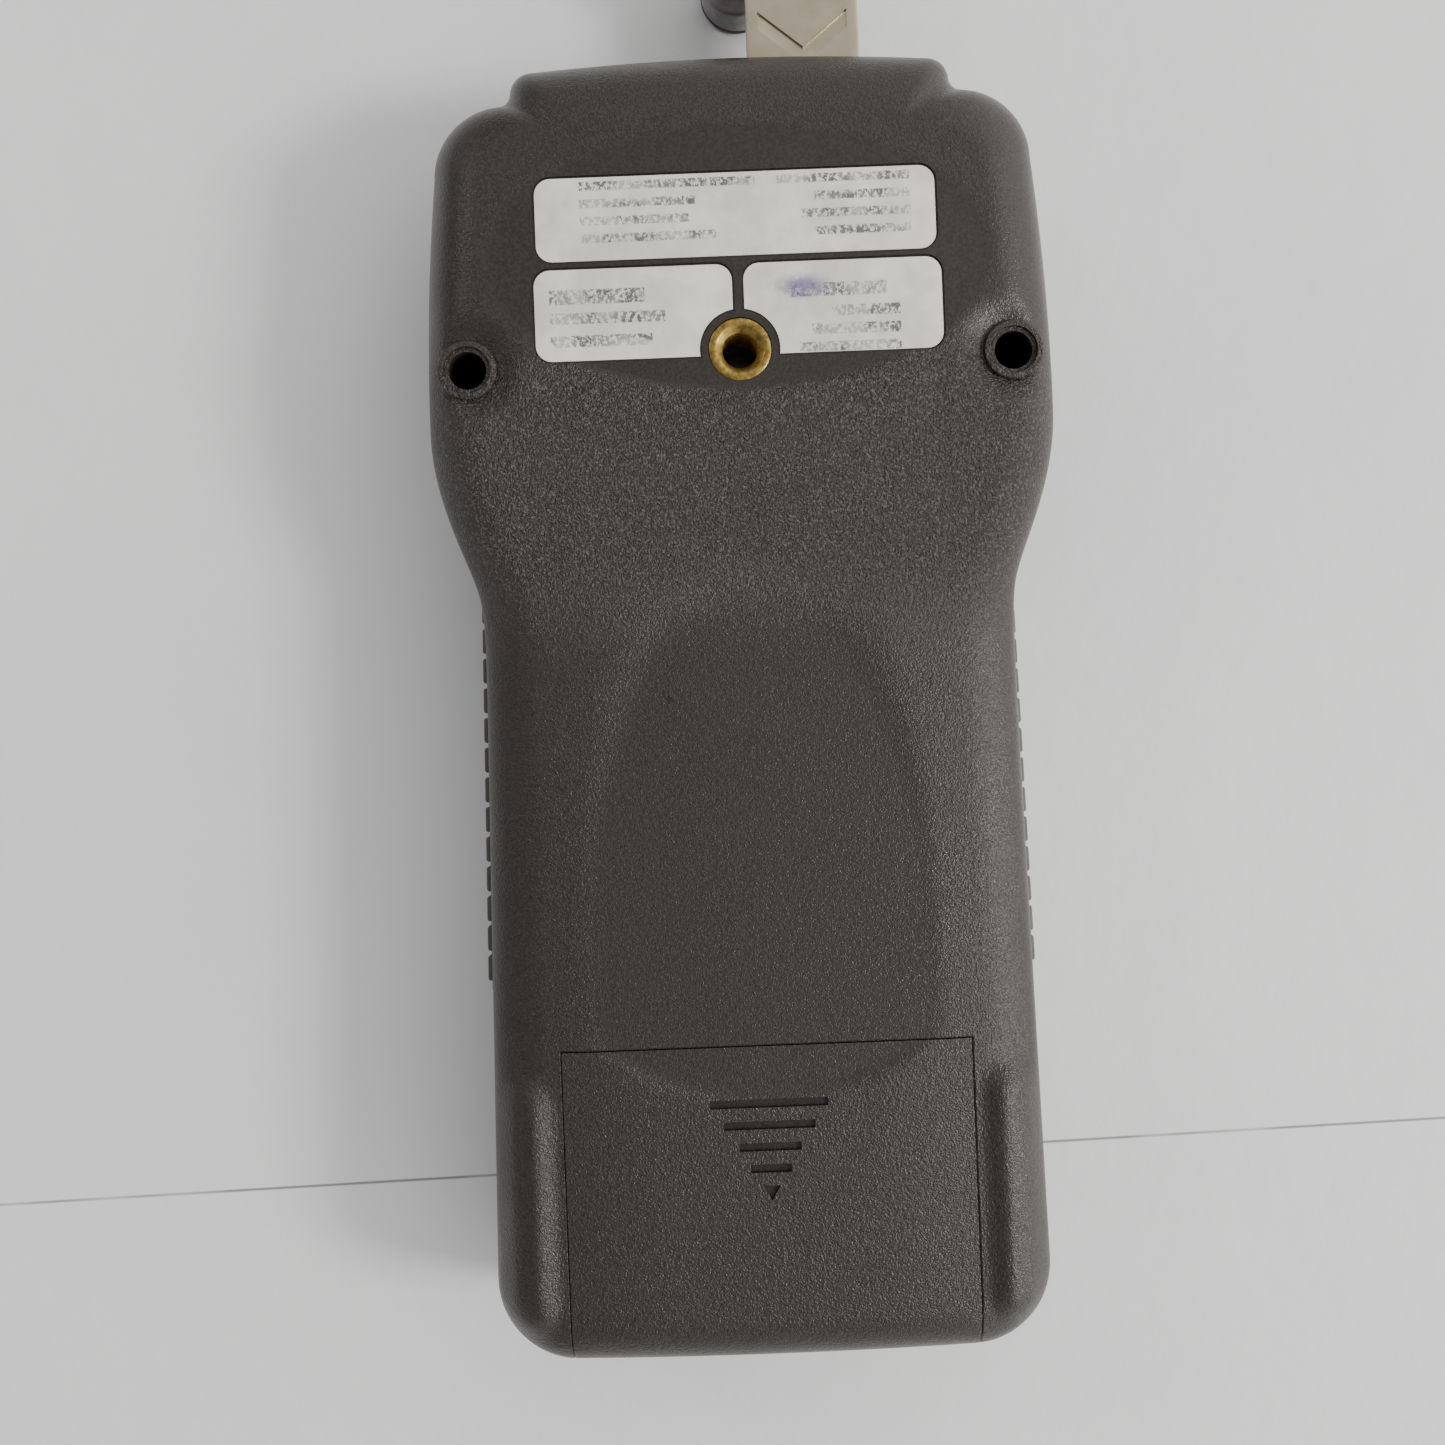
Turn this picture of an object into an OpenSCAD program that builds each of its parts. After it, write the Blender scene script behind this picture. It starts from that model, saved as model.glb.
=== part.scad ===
// Hand-held probe detector, lying on its display side with its back cover up.
// X runs across the case, Y along it towards the probe, Z up through its thickness.
// The model is drawn about the middle of the case and then moved, so that the origin
// is under the middle of the whole object, on the surface that it lies on.

/* [Case] */
// Length of the case from butt to collar
case_l = 200; // [186:1:220]
// Thickness of the case, front rim to back face
case_h = 38; // [36:0.5:46]
// Height of the joint between the two shells
front_h = 15; // [14:0.5:17]
// Width of the head at its widest
head_w = 96.4; // [92:0.2:116]
// Width of the handle where the head begins
waist_w = 81.2; // [78:0.2:92]
// Width of the handle at the butt
butt_w = 85.6; // [80:0.2:96]
// Width of the raised collar at the probe end
collar_w = 68; // [60:0.5:74]
// Height of the collar above the shoulders
collar_step = 6.6; // [4:0.2:9]
// Wall thickness of both shells
wall = 2.4; // [2:0.1:3]
// Radius of the butt corners in plan
butt_r = 12; // [9:0.5:16]
// Height of the rounding around the back face
back_round = 10; // [7:0.5:12]
// How far the back of the handle lies below the back of the head
saddle = 1.6; // [0.8:0.1:2.4]
// Height of the rounding around the front face
front_round = 5; // [3:0.5:6]

/* [Battery] */
// Width of the battery door
door_w = 62; // [60:0.5:66]
// Length of the battery door
door_l = 49; // [46:0.5:56]
// Thickness of the battery door
door_t = 2; // [1.8:0.1:2.2]
// Gap around the battery door
door_gap = 0.15; // [0.1:0.05:0.3]
// Length of the battery's body, without its terminals
cell_l = 46.4; // [44:0.1:47]
// Width of the battery
cell_w = 26.5; // [24:0.1:27]
// Thickness of the battery
cell_t = 17.5; // [15:0.1:17.5]

/* [Probe] */
// Width of the metal probe blade
blade_w = 17.8; // [14:0.2:22]
// Thickness of the metal probe blade
blade_t = 4.6; // [4:0.1:6]
// Length of blade inside the case
blade_in = 12; // [10:0.5:13]
// Length of blade outside the case
blade_out = 36; // [30:1:50]
// Distance of the blade from the centre line
blade_x = 12.2; // [0:0.2:14]
// Height of the middle of the blade
blade_z = 20; // [19:0.2:22]
// Radius of the sensor puck
puck_r = 6.15; // [5:0.05:8]
// Height of the sensor puck
puck_h = 7; // [5:0.5:9]
// Sliding clearance round the blade in its socket
blade_gap = 0.25; // [0.15:0.05:0.4]

/* [Fasteners] */
// Radius of the thread bore of the tripod insert
insert_bore_r = 2.6; // [2.4:0.05:3.2]
// Outside radius of the tripod insert
insert_r = 4.75; // [4.4:0.01:5.5]
// Length of the tripod insert
insert_l = 9.5; // [7:0.5:11]
// Radius of the screwdriver wells in the back
well_r = 2.83; // [2.75:0.01:3.4]
// Outside radius of the well bosses
boss_r = 4.4; // [4.2:0.1:5]
// Distance of each well from the centre line
well_x = 40.8; // [38:0.2:42]
// Radius of a case screw's shank
screw_r = 1.45; // [1.25:0.05:1.6]
// Radius of a case screw's head
screw_head_r = 2.6; // [2.3:0.05:2.7]

/* [Controls] */
// Width of a key
key_w = 16; // [13:0.5:18]
// Length of a key
key_l = 9.6; // [8:0.2:12]
// How far a key travels
key_travel = 0.5; // [0.4:0.05:0.6]
// Gap round a key in its opening
key_gap = 0.3; // [0.2:0.05:0.4]
// Width of the clear display window
window_w = 59; // [50:1:62]
// Length of the clear display window
window_l = 34; // [28:1:36]

/* [Grips] */
// Number of ribs on each side grip
rib_n = 13; // [9:1:14]
// Spacing of the ribs
rib_pitch = 4.73; // [4:0.01:5]
// Gap between two ribs
rib_gap = 0.75; // [0.4:0.05:1.2]
// How far the ribs stand out of the case
rib_out = 1.7; // [1.3:0.1:3]

/* [Hidden] */

fine = 48;
butt_y = -case_l / 2;
top_y = case_l / 2;
total_l = case_l + blade_out;
shell_grey = [0.29, 0.275, 0.26];

// ---- Plan outline of the case -------------------------------------------------------
waist_y = top_y - 82;
neck_l = 26;
saddle_top = waist_y + neck_l + 2;
handle_h = case_h - saddle;
head_lean = 2.1;
collar_arch = 1.2;
head_r = 10.7;
collar_r = 3.4;
step_r = 2.4;
// How far the flat of the back lies inside the outline, at the sides, butt and collar end
side_inset = 9;
butt_inset = 8;
top_inset = 13;
round_steps = 6;

function arc(c, r, a0, a1, n) = [for (i = [0 : n])
    let (a = a0 + (a1 - a0) * i / n) [c[0] + r * cos(a), c[1] + r * sin(a)]];

// Right half of an outline, from the butt to the middle of the collar. The first list
// holds half widths at the butt, waist, head and collar, the second holds the y of the
// butt, shoulder and collar top, and the third the radii of the butt corner, the head
// corner, the step under the collar and the collar corner.
function half_outline(hw, y, r) = concat(
    arc([hw[0] - r[0], y[0] + r[0]], r[0], -90, 0, 7),
    [for (i = [0 : 7]) [hw[1] + (hw[2] - hw[1]) * sin(90 * i / 7), waist_y + neck_l * i / 7]],
    [for (i = [1 : 3]) let (t = i / 4, y0 = waist_y + neck_l)
        [hw[2] - head_lean * t * t, y0 + (y[1] - r[1] - y0) * t]],
    arc([hw[2] - head_lean - r[1], y[1] - r[1]], r[1], 0, 84, 7),
    arc([hw[3] + r[2], y[1] + r[2]], r[2], 262, 184, 4),
    arc([hw[3] - r[3], y[2] - collar_arch - r[3]], r[3], 4, 86, 5),
    [for (i = [1 : 4]) let (u = 1 - i / 4)
        [(hw[3] - r[3]) * u, y[2] - collar_arch * u * u]]);

silhouette = half_outline([butt_w / 2, waist_w / 2, head_w / 2, collar_w / 2],
    [butt_y, top_y - collar_step, top_y], [butt_r, head_r, step_r, collar_r]);
plateau = half_outline([butt_w / 2 - side_inset, waist_w / 2 - side_inset,
    head_w / 2 - side_inset, collar_w / 2 - side_inset],
    [butt_y + butt_inset, top_y - top_inset - 3, top_y - top_inset],
    [max(butt_r - 6, 3), 7.5, 1, 0.9]);
half_n = len(silhouette);

// The outline a share t of the way from the silhouette to the plateau.
function inset(t) = [for (i = [0 : half_n - 1]) silhouette[i] + (plateau[i] - silhouette[i]) * t];

// How far the back lies below the head at y: nothing on the head, all of the saddle on the handle.
function smooth(u) = let (v = min(max(u, 0), 1)) v * v * (3 - 2 * v);
function dip(y) = saddle * smooth((saddle_top - y) / (saddle_top - waist_y));

// A closed ring at height z: the right half going up, then its mirror coming down. A share
// of the dip in the back comes off its height.
function ring(t, z, share = 0) = let (h = inset(t)) concat(
    [for (p = h) [p[0], p[1], z - share * dip(p[1])]],
    [for (i = [half_n - 2 : -1 : 0]) [-h[i][0], h[i][1], z - share * dip(h[i][1])]]);

// A solid through rings that are listed from the lowest up.
module loft(rings) {
    n = 2 * half_n - 1;
    m = len(rings);
    function at(k, i) = k * n + (i % n);
    function mirrored(i) = n - 1 - i;
    sides = [for (k = [0 : m - 2]) for (i = [0 : n - 1]) for (s = [0, 1]) s == 0
        ? [at(k, i), at(k + 1, i), at(k + 1, i + 1)]
        : [at(k, i), at(k + 1, i + 1), at(k, i + 1)]];
    lids = [for (k = [0, m - 1]) for (i = [0 : half_n - 2]) for (s = [0, 1])
        let (a = at(k, i), b = at(k, i + 1), c = at(k, mirrored(i + 1)), d = at(k, mirrored(i)))
        if (!(s == 0 && b == c))
        let (tri = s == 0 ? [a, b, c] : [a, c, d]) k == 0 ? tri : [tri[2], tri[1], tri[0]]];
    polyhedron(points = [for (r = rings) for (p = r) p], faces = concat(sides, lids));
}

wall_share = wall / side_inset;
back_spring = case_h - back_round;
front_share = 0.45;

// Both forms run past the joint between the shells, which a flat cut then makes.
module back_form(skin) {
    t0 = skin ? wall_share : 0;
    rise = back_round - (skin ? wall : 0);
    loft(concat([ring(t0, front_h - (skin ? 2 : 1))],
        [for (i = [0 : round_steps]) let (a = 90 * i / round_steps)
            ring(t0 + (1 - t0) * (1 - cos(a)), back_spring + rise * sin(a), sin(a))]));
}

module front_form(skin) {
    t0 = skin ? wall_share : 0;
    t1 = skin ? front_share + 0.08 : front_share;
    drop = front_round - (skin ? wall : 0);
    steps = 4;
    loft(concat([for (i = [steps : -1 : 0]) let (a = 90 * i / steps)
            ring(t0 + (t1 - t0) * (1 - cos(a)), front_round - drop * sin(a))],
        [ring(t0, front_h + (skin ? 2 : 1))]));
}

// All that lies between two heights.
module layer(z0, z1) {
    box([-head_w, -case_l, z0], [head_w, case_l, z1]);
}

// ---- Shared helpers -----------------------------------------------------------------
module rounded(w, l, r) {
    square([w - 2 * r, l], center = true);
    square([w, l - 2 * r], center = true);
    for (x = [-1, 1], y = [-1, 1])
        translate([x * (w / 2 - r), y * (l / 2 - r)]) circle(r = r, $fn = fine);
}

module slab(w, l, h, r) {
    linear_extrude(height = h) rounded(w, l, r);
}

module box(lo, hi) {
    translate(lo) cube(hi - lo);
}

module rod(p, r, h) {
    translate(p) cylinder(r = r, h = h, $fn = fine);
}

// Moves a piece from the middle of the case to the frame of the whole object.
module place() {
    translate([0, -blade_out / 2, 0]) children();
}

// ---- Places that several pieces share -------------------------------------------------
insert_y = top_y - 47;
well_y = top_y - 48.5;
well_floor = front_h + 3;
well_rim = case_h - 0.4;
moat_r = 6;
moat_deep = 1.2;
well_sink = 0.6;
well_sink_r = well_r + 0.7;
insert_ring_r = insert_r + 0.95;
low_screw_x = door_w / 2 - 5;
low_screw_y = butt_y + 8.2;
pilot_gap = 0.05;
front_post_r = 3.6;
screw_tip = wall + 1.5;

label_t = 0.25;
label_sink = 0.35;
label_gap = 0.3;
label_r = 2.4;
top_label = [59.6, 12.4];
low_label = [29.5, 13.6];
top_label_y = top_y - 26.9;
low_label_y = insert_y + 5.9;
low_label_x = 15.6;

door_top = butt_y + door_l;
under_door = handle_h - door_t;
palm_w = 53.4;
palm_mid = door_top + 15;
palm_rise = 58;
palm_deep = 0.5;
pad_foam_t = 0.6;
bay_floor = under_door - pad_foam_t - 0.2 - cell_t - 0.1;
bay_skin = min(1.4, bay_floor - front_h);
bay_x = door_w / 2 - 1.6;
bay_end = butt_y + 4.1;
cell_x0 = -bay_x + 2.4;
cell_y = door_top - 8.6 - cell_w / 2;
cell_z = bay_floor + 0.1;
terminal_h = 3;
terminal_y = 6.35;
snap_t = 4.2;
tab_x = 18;
tab_w = 8;
tab_l = 4;
tab_cover = 1.3;
tab_top = handle_h - tab_cover - 0.2;
tab_low = under_door - pad_foam_t + 0.05;
lead_r = 0.6;
lead_hole_r = 2.4;
lead_x = bay_x - 3.2;
lead_z = bay_floor + 6;

grip_z = [8, 24];
grip_slope = atan((butt_w - waist_w) / 2 / (waist_y - butt_y - butt_r));
grip_l = rib_n * rib_pitch + 2;
grip_top = waist_y + 2;
grip_base_in = 1.2;
grip_base_out = 0.9;
grip_gap = 0.1;

board_z = 8.5;
board_t = 1.6;
board_top = board_z + board_t;
board_low_y = door_top + 5;
board_high_y = top_y - 5.5;
post_x = 30;
post_ys = [board_low_y + 6, board_high_y - 8];
post_r = 3;
board_screw_r = 1.1;

window_y = top_y - 44;
lens_w = window_w + 7;
lens_l = window_l + 7;
lens_t = 1.2;
lens_z = 0.3;
lcd_w = window_w + 3;
lcd_l = window_l + 4;
lcd_z = wall + 0.5;
lcd_t = 2.2;

pad_w = 56;
pad_l = 76;
pad_y = waist_y - 32;
pad_sink = 1.2;
pad_t = 0.5;
key_xs = [-14, 14];
key_ys = [pad_y + 24, pad_y + 4, pad_y - 16];
key_face = 0.35;
key_flange_z = wall + pad_sink + 0.1;
key_tip = board_z - 0.8 - 0.1 - key_travel;

socket_w = blade_w + 4;
socket_y0 = top_y - blade_in - 2.6;
socket_y1 = top_y - 4.8;
tongue_t = 1.1;
tongue_w = blade_w - 4.4;
tongue_l = blade_in - 3.5;
slot_gap = 0.3;
puck_x = blade_x - 9.7;
puck_y = top_y + 23.7;
puck_z = 0.4;
lug_r = puck_r + 1.2;
blade_low = blade_z - blade_t / 2;

// ---- Case -----------------------------------------------------------------------------
module door_opening() {
    box([-door_w / 2, butt_y - 2, front_h - 1], [door_w / 2, door_top, case_h + 2]);
}

// A raised heel beside the battery door. The case rests on both heels and the head when it
// is laid on its back.
module heel(side) {
    heel_r = 5;
    hull() for (y = [butt_y + 13, butt_y + 37])
        translate([side * (door_w / 2 + 5.4), y, case_h - heel_r]) sphere(r = heel_r, $fn = 28);
}

module battery_bay() {
    under = bay_floor - bay_skin;
    profile = concat([[bay_end - 1.6, under]],
        [for (p = door_curve(door_t + 0.15)) [max(p[0], bay_end - 1.6), p[1]]],
        [[door_top + 2.6, under_door - 0.15], [door_top + 2.6, under]]);
    difference() {
        rotate([90, 0, 90]) translate([0, 0, -bay_x - 2.6])
            linear_extrude(height = 2 * bay_x + 5.2) polygon(profile);
        box([-bay_x, bay_end, bay_floor], [bay_x, door_top - 1.4, handle_h]);
        translate([lead_x, door_top - 3, lead_z]) rotate([-90, 0, 0])
            cylinder(r = lead_hole_r, h = 8, $fn = fine);
        for (x = [-low_screw_x, low_screw_x])
            rod([x, low_screw_y, bay_floor - 3], screw_r + 0.3, 6);
    }
}

module grip_frame(side) {
    mirror([side < 0 ? 1 : 0, 0, 0])
        translate([waist_w / 2, waist_y, 0]) rotate([0, 0, grip_slope])
            translate([0, grip_top - waist_y - grip_l, 0]) children();
}

module grip_pocket(side) {
    grip_frame(side)
        box([-grip_base_in - grip_gap, -grip_gap, grip_z[0] - grip_gap],
            [5, grip_l + grip_gap, grip_z[1] + grip_gap]);
}

// The shallow hollow down the handle for the palm, which runs on to the battery door.
module palm_hollow() {
    side = concat(arc([0, palm_mid + 19], 42, -90, -52, 6),
        [for (i = [0 : 12]) let (a = 90 * i / 12)
            [palm_w / 2 * cos(a), palm_mid + palm_rise * sin(a)]]);
    translate([0, 0, handle_h - palm_deep]) linear_extrude(height = 5)
        polygon(concat(side, [for (i = [len(side) - 2 : -1 : 1]) [-side[i][0], side[i][1]]]));
}

module label_pockets() {
    at_top = case_h - label_sink;
    g = 2 * label_gap;
    translate([0, top_label_y, at_top])
        slab(top_label[0] + g, top_label[1] + g, label_sink + 1, label_r + label_gap);
    difference() {
        for (x = [-low_label_x, low_label_x]) translate([x, low_label_y, at_top])
            slab(low_label[0] + g, low_label[1] + g, label_sink + 1, label_r + label_gap);
        rod([0, insert_y, case_h - 3], insert_ring_r, 6);
    }
}

module back_shell() {
    color(shell_grey) difference() {
        union() {
            difference() {
                intersection() {
                    back_form(false);
                    layer(front_h, case_h + 1);
                }
                back_form(true);
                door_opening();
                for (x = [-well_x, well_x]) rod([x, well_y, case_h - moat_deep], moat_r, 3);
            }
            intersection() {
                back_form(false);
                battery_bay();
            }
            for (x = [-well_x, well_x]) rod([x, well_y, front_h], boss_r, well_rim - front_h);
            rod([0, insert_y, case_h - insert_l - 3.5], insert_r + 2.2, insert_l + 3.4);
            for (side = [-1, 1]) difference() {
                heel(side);
                layer(0, back_spring + 4);
                door_opening();
            }
        }
        for (x = [-well_x, well_x]) {
            rod([x, well_y, front_h - 1], screw_r + 0.3, 6);
            rod([x, well_y, well_floor], well_r, case_h);
            rod([x, well_y, well_rim - well_sink], well_sink_r, 4);
        }
        rod([0, insert_y, case_h - insert_l - 1.5], insert_r, insert_l + 3);
        rod([0, insert_y, case_h - insert_l - 2.5], insert_bore_r + 0.3, 2);
        label_pockets();
        palm_hollow();
        for (x = [-tab_x, tab_x])
            box([x - tab_w / 2 - 0.5, door_top - 3, tab_low - 0.9],
                [x + tab_w / 2 + 0.5, door_top + tab_l + 1, handle_h - tab_cover]);
        for (side = [-1, 1]) grip_pocket(side);
        blade_passage();
    }
}

module blade_passage() {
    translate([blade_x, top_y, blade_z]) rotate([90, 0, 0]) translate([0, 0, -3])
        linear_extrude(height = 10)
            rounded(blade_w + 2 * blade_gap, blade_t + 2 * blade_gap, 0.6);
}

module front_shell() {
    color(shell_grey) difference() {
        union() {
            difference() {
                intersection() {
                    front_form(false);
                    layer(-1, front_h);
                }
                front_form(true);
            }
            for (x = [-well_x, well_x]) front_post(x, well_y);
            for (x = [-low_screw_x, low_screw_x]) front_post(x, low_screw_y);
            for (x = [-post_x, post_x], y = post_ys) rod([x, y, wall - 0.5], post_r, board_z - wall + 0.5);
            // thickens the floor of the recess that takes the keypad film
            box([-pad_w / 2 - 2, pad_y - pad_l / 2 - 2, wall - 0.5],
                [pad_w / 2 + 2, pad_y + pad_l / 2 + 2, wall + pad_sink]);
        }
        for (x = [-well_x, well_x]) rod([x, well_y, screw_tip - 0.5], screw_r + pilot_gap, front_h);
        for (x = [-low_screw_x, low_screw_x])
            rod([x, low_screw_y, screw_tip - 0.5], screw_r + pilot_gap, front_h);
        for (x = [-post_x, post_x], y = post_ys)
            rod([x, y, wall + 0.4], board_screw_r + pilot_gap, board_z);
        // lens seat and window
        translate([0, window_y, -1]) slab(lens_w + 0.4, lens_l + 0.4, lens_z + lens_t + 1, 3.2);
        translate([0, window_y, -1]) slab(window_w, window_l, 8, 2);
        // recess for the keypad film, and the key openings
        translate([0, pad_y, -1]) slab(pad_w, pad_l, pad_sink + 1, 5);
        for (x = key_xs, y = key_ys) translate([x, y, -1])
            slab(key_w + 2 * key_gap, key_l + 2 * key_gap, 8, 2 + key_gap);
        for (side = [-1, 1]) grip_pocket(side);
    }
}

// A screw post that stands on the inside of the front face.
module front_post(x, y) {
    intersection() {
        rod([x, y, wall - 0.5], front_post_r, front_h - wall + 0.5);
        front_form(false);
    }
}

// ---- Battery ----------------------------------------------------------------------------
// Side view of the door: along the back face, round the butt and down to the shell joint.
function door_curve(depth) = let (a_steps = 8)
    [for (i = [0 : a_steps]) let (a = 90 * i / a_steps)
        [butt_y + depth + (butt_inset - depth) * (1 - cos(a)),
         back_spring + (handle_h - back_spring - depth) * sin(a)]];

module battery_door() {
    groove_w = [17.8, 13.8, 9.4, 6.2];
    groove_y = butt_y + 40.4;
    groove_pitch = 3.25;
    groove_l = 1.3;
    groove_deep = 0.6;
    outer = concat([[butt_y, front_h + door_gap]], door_curve(0), [[door_top - door_gap, handle_h]]);
    inner = concat([[door_top - door_gap, under_door]],
        [for (p = [8 : -1 : 0]) door_curve(door_t)[p]], [[butt_y + door_t, front_h + door_gap]]);
    color(shell_grey) difference() {
        union() {
            rotate([90, 0, 90]) translate([0, 0, -door_w / 2 + door_gap])
                linear_extrude(height = door_w - 2 * door_gap) polygon(concat(outer, inner));
            for (x = [-tab_x, tab_x])
                box([x - tab_w / 2, door_top - 3, tab_low], [x + tab_w / 2, door_top + tab_l, tab_top]);
        }
        for (i = [0 : 3])
            box([-groove_w[i] / 2, groove_y - i * groove_pitch - groove_l / 2, handle_h - groove_deep],
                [groove_w[i] / 2, groove_y - i * groove_pitch + groove_l / 2, case_h]);
        translate([0, groove_y - 4 * groove_pitch - 0.2, handle_h - groove_deep]) rotate([0, 0, -90])
            cylinder(r = 1.5, h = 2, $fn = 3);
        palm_hollow();
    }
}

module door_pad() {
    color([0.15, 0.15, 0.16]) translate([-3, cell_y, under_door - pad_foam_t]) slab(36, 18, pad_foam_t, 1);
}

module battery() {
    end_x = cell_x0 + cell_l;
    mid_z = cell_z + cell_t / 2;
    color([0.16, 0.17, 0.2]) {
        translate([cell_x0, cell_y, mid_z]) rotate([90, 0, 90])
            linear_extrude(height = cell_l) rounded(cell_w, cell_t, 2);
        translate([end_x - 0.5, cell_y - terminal_y, mid_z]) rotate([0, 90, 0])
            cylinder(r = 2.9, h = terminal_h + 0.5, $fn = fine);
        translate([end_x - 0.5, cell_y + terminal_y, mid_z]) rotate([0, 90, 0])
            cylinder(r = 3.9, h = terminal_h - 0.5, $fn = 6);
    }
}

module battery_snap() {
    end_x = cell_x0 + cell_l + 0.3;
    mid_z = cell_z + cell_t / 2;
    color([0.1, 0.1, 0.1]) difference() {
        translate([end_x, cell_y, mid_z]) rotate([90, 0, 90])
            linear_extrude(height = snap_t) rounded(25, 11.5, 2);
        translate([end_x - 1, cell_y - terminal_y, mid_z]) rotate([0, 90, 0])
            cylinder(r = 3.1, h = terminal_h + 1, $fn = fine);
        translate([end_x - 1, cell_y + terminal_y, mid_z]) rotate([0, 90, 0])
            cylinder(r = 4.2, h = terminal_h + 1, $fn = fine);
    }
}

// A wire of round rods with ball joints through a list of points.
module wire(points) {
    for (i = [0 : len(points) - 2]) let (a = points[i], d = points[i + 1] - a,
            l = norm(d), turn = atan2(d[1], d[0]), lean = acos(d[2] / l))
        translate(a) rotate([0, lean, turn]) cylinder(r = lead_r, h = l, $fn = 24);
    for (i = [1 : len(points) - 2]) translate(points[i]) sphere(r = lead_r + 0.06, $fn = 24);
}

module battery_lead(dx, shade) {
    snap_x = cell_x0 + cell_l + 0.3 + snap_t;
    color(shade) wire([
        [snap_x - 0.1, cell_y + 5 - 1.5 * dx, lead_z],
        [lead_x + dx, cell_y + 8.6, lead_z],
        [lead_x + dx, door_top + 4.5, lead_z],
        [lead_x + dx, board_low_y + 6, board_top - 0.2]]);
}

// ---- Grips, insert, screws and labels -----------------------------------------------------
module grip(side) {
    color([0.3, 0.31, 0.29]) grip_frame(side) {
        box([-grip_base_in, 0, grip_z[0]], [grip_base_out, grip_l, grip_z[1]]);
        for (i = [0 : rib_n - 1]) let (y0 = 1 + i * rib_pitch + rib_gap / 2)
            translate([grip_base_out - 0.2, y0 + (rib_pitch - rib_gap) / 2, (grip_z[0] + grip_z[1]) / 2])
                rotate([90, 0, 90]) linear_extrude(height = rib_out - grip_base_out + 0.2)
                    rounded(rib_pitch - rib_gap, grip_z[1] - grip_z[0] - 2, 0.8);
    }
}

module tripod_insert() {
    color([0.72, 0.55, 0.25]) difference() {
        rod([0, insert_y, case_h - insert_l - 0.2], insert_r - 0.01, insert_l);
        rod([0, insert_y, case_h - insert_l - 1], insert_bore_r, insert_l + 3);
        translate([0, insert_y, case_h - 0.2 - 0.9])
            cylinder(r1 = insert_bore_r, r2 = insert_bore_r + 0.9 + 0.1, h = 1, $fn = fine);
    }
}

module case_screw(p, head_h) {
    rod([p[0], p[1], screw_tip], screw_r, p[2] - screw_tip + 0.1);
    difference() {
        rod(p, screw_head_r, head_h);
        for (a = [0, 90]) translate([p[0], p[1], p[2] + head_h]) rotate([0, 0, a])
            cube([2.8, 0.7, 1.6], center = true);
    }
}

module upper_case_screws() {
    color("dimgray") for (x = [-well_x, well_x]) case_screw([x, well_y, well_floor], 2.1);
}

module lower_case_screws() {
    color("dimgray") for (x = [-low_screw_x, low_screw_x])
        case_screw([x, low_screw_y, bay_floor], 1.8);
}

module label(w, l, x, y) {
    color([0.83, 0.82, 0.78]) difference() {
        translate([x, y, case_h - label_sink]) slab(w, l, label_t, label_r);
        rod([0, insert_y, case_h - 3], insert_ring_r + label_gap, 6);
    }
}

// ---- Display -------------------------------------------------------------------------------
module display_window() {
    color([0.55, 0.6, 0.58]) translate([0, window_y, lens_z]) slab(lens_w, lens_l, lens_t, 3);
}

module lcd_frame() {
    color([0.12, 0.12, 0.12]) difference() {
        translate([0, window_y, lcd_z]) slab(lcd_w + 3.6, lcd_l + 9.6, board_z - lcd_z, 1.5);
        translate([0, window_y, lcd_z - 1]) slab(lcd_w + 0.4, lcd_l + 0.4, lcd_t + 1.2, 0.5);
        translate([0, window_y, lcd_z - 1]) slab(lcd_w - 6, lcd_l - 8, 12, 0.5);
        for (s = [-1, 1]) translate([0, window_y + s * (lcd_l / 2 - 1.5), lcd_z + 1])
            slab(lcd_w - 2, 2.5, 12, 0.5);
    }
}

module lcd_panel() {
    color([0.5, 0.56, 0.48]) translate([0, window_y, lcd_z]) slab(lcd_w, lcd_l, lcd_t, 0.5);
}

module zebra_strips() {
    color([0.45, 0.2, 0.35]) for (s = [-1, 1])
        translate([0, window_y + s * (lcd_l / 2 - 1.5), lcd_z + lcd_t])
            slab(lcd_w - 4, 2, board_z - lcd_z - lcd_t, 0.4);
}

// ---- Keypad ----------------------------------------------------------------------------------
module keypad_overlay() {
    color([0.2, 0.2, 0.21]) difference() {
        translate([0, pad_y, pad_sink - pad_t]) slab(pad_w - 0.4, pad_l - 0.4, pad_t, 4.8);
        for (x = key_xs, y = key_ys) translate([x, y, -1])
            slab(key_w + 2 * key_gap, key_l + 2 * key_gap, 4, 2 + key_gap);
    }
}

module key(column, row, shade) {
    color(shade) translate([key_xs[column], key_ys[row], 0]) {
        translate([0, 0, key_face]) slab(key_w, key_l, key_flange_z - key_face + 0.5, 2);
        translate([0, 0, key_flange_z]) slab(key_w + 2.4, key_l + 2.4, 0.9, 2.5);
        rod([0, 0, key_flange_z], 1.6, key_tip - key_flange_z);
    }
}

module key_domes() {
    color("silver") for (x = key_xs, y = key_ys) {
        rod([x, y, board_z - 0.3], 4, 0.3);
        translate([x, y, board_z - 0.8]) cylinder(r1 = 1.8, r2 = 3.4, h = 0.6, $fn = fine);
    }
}

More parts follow.
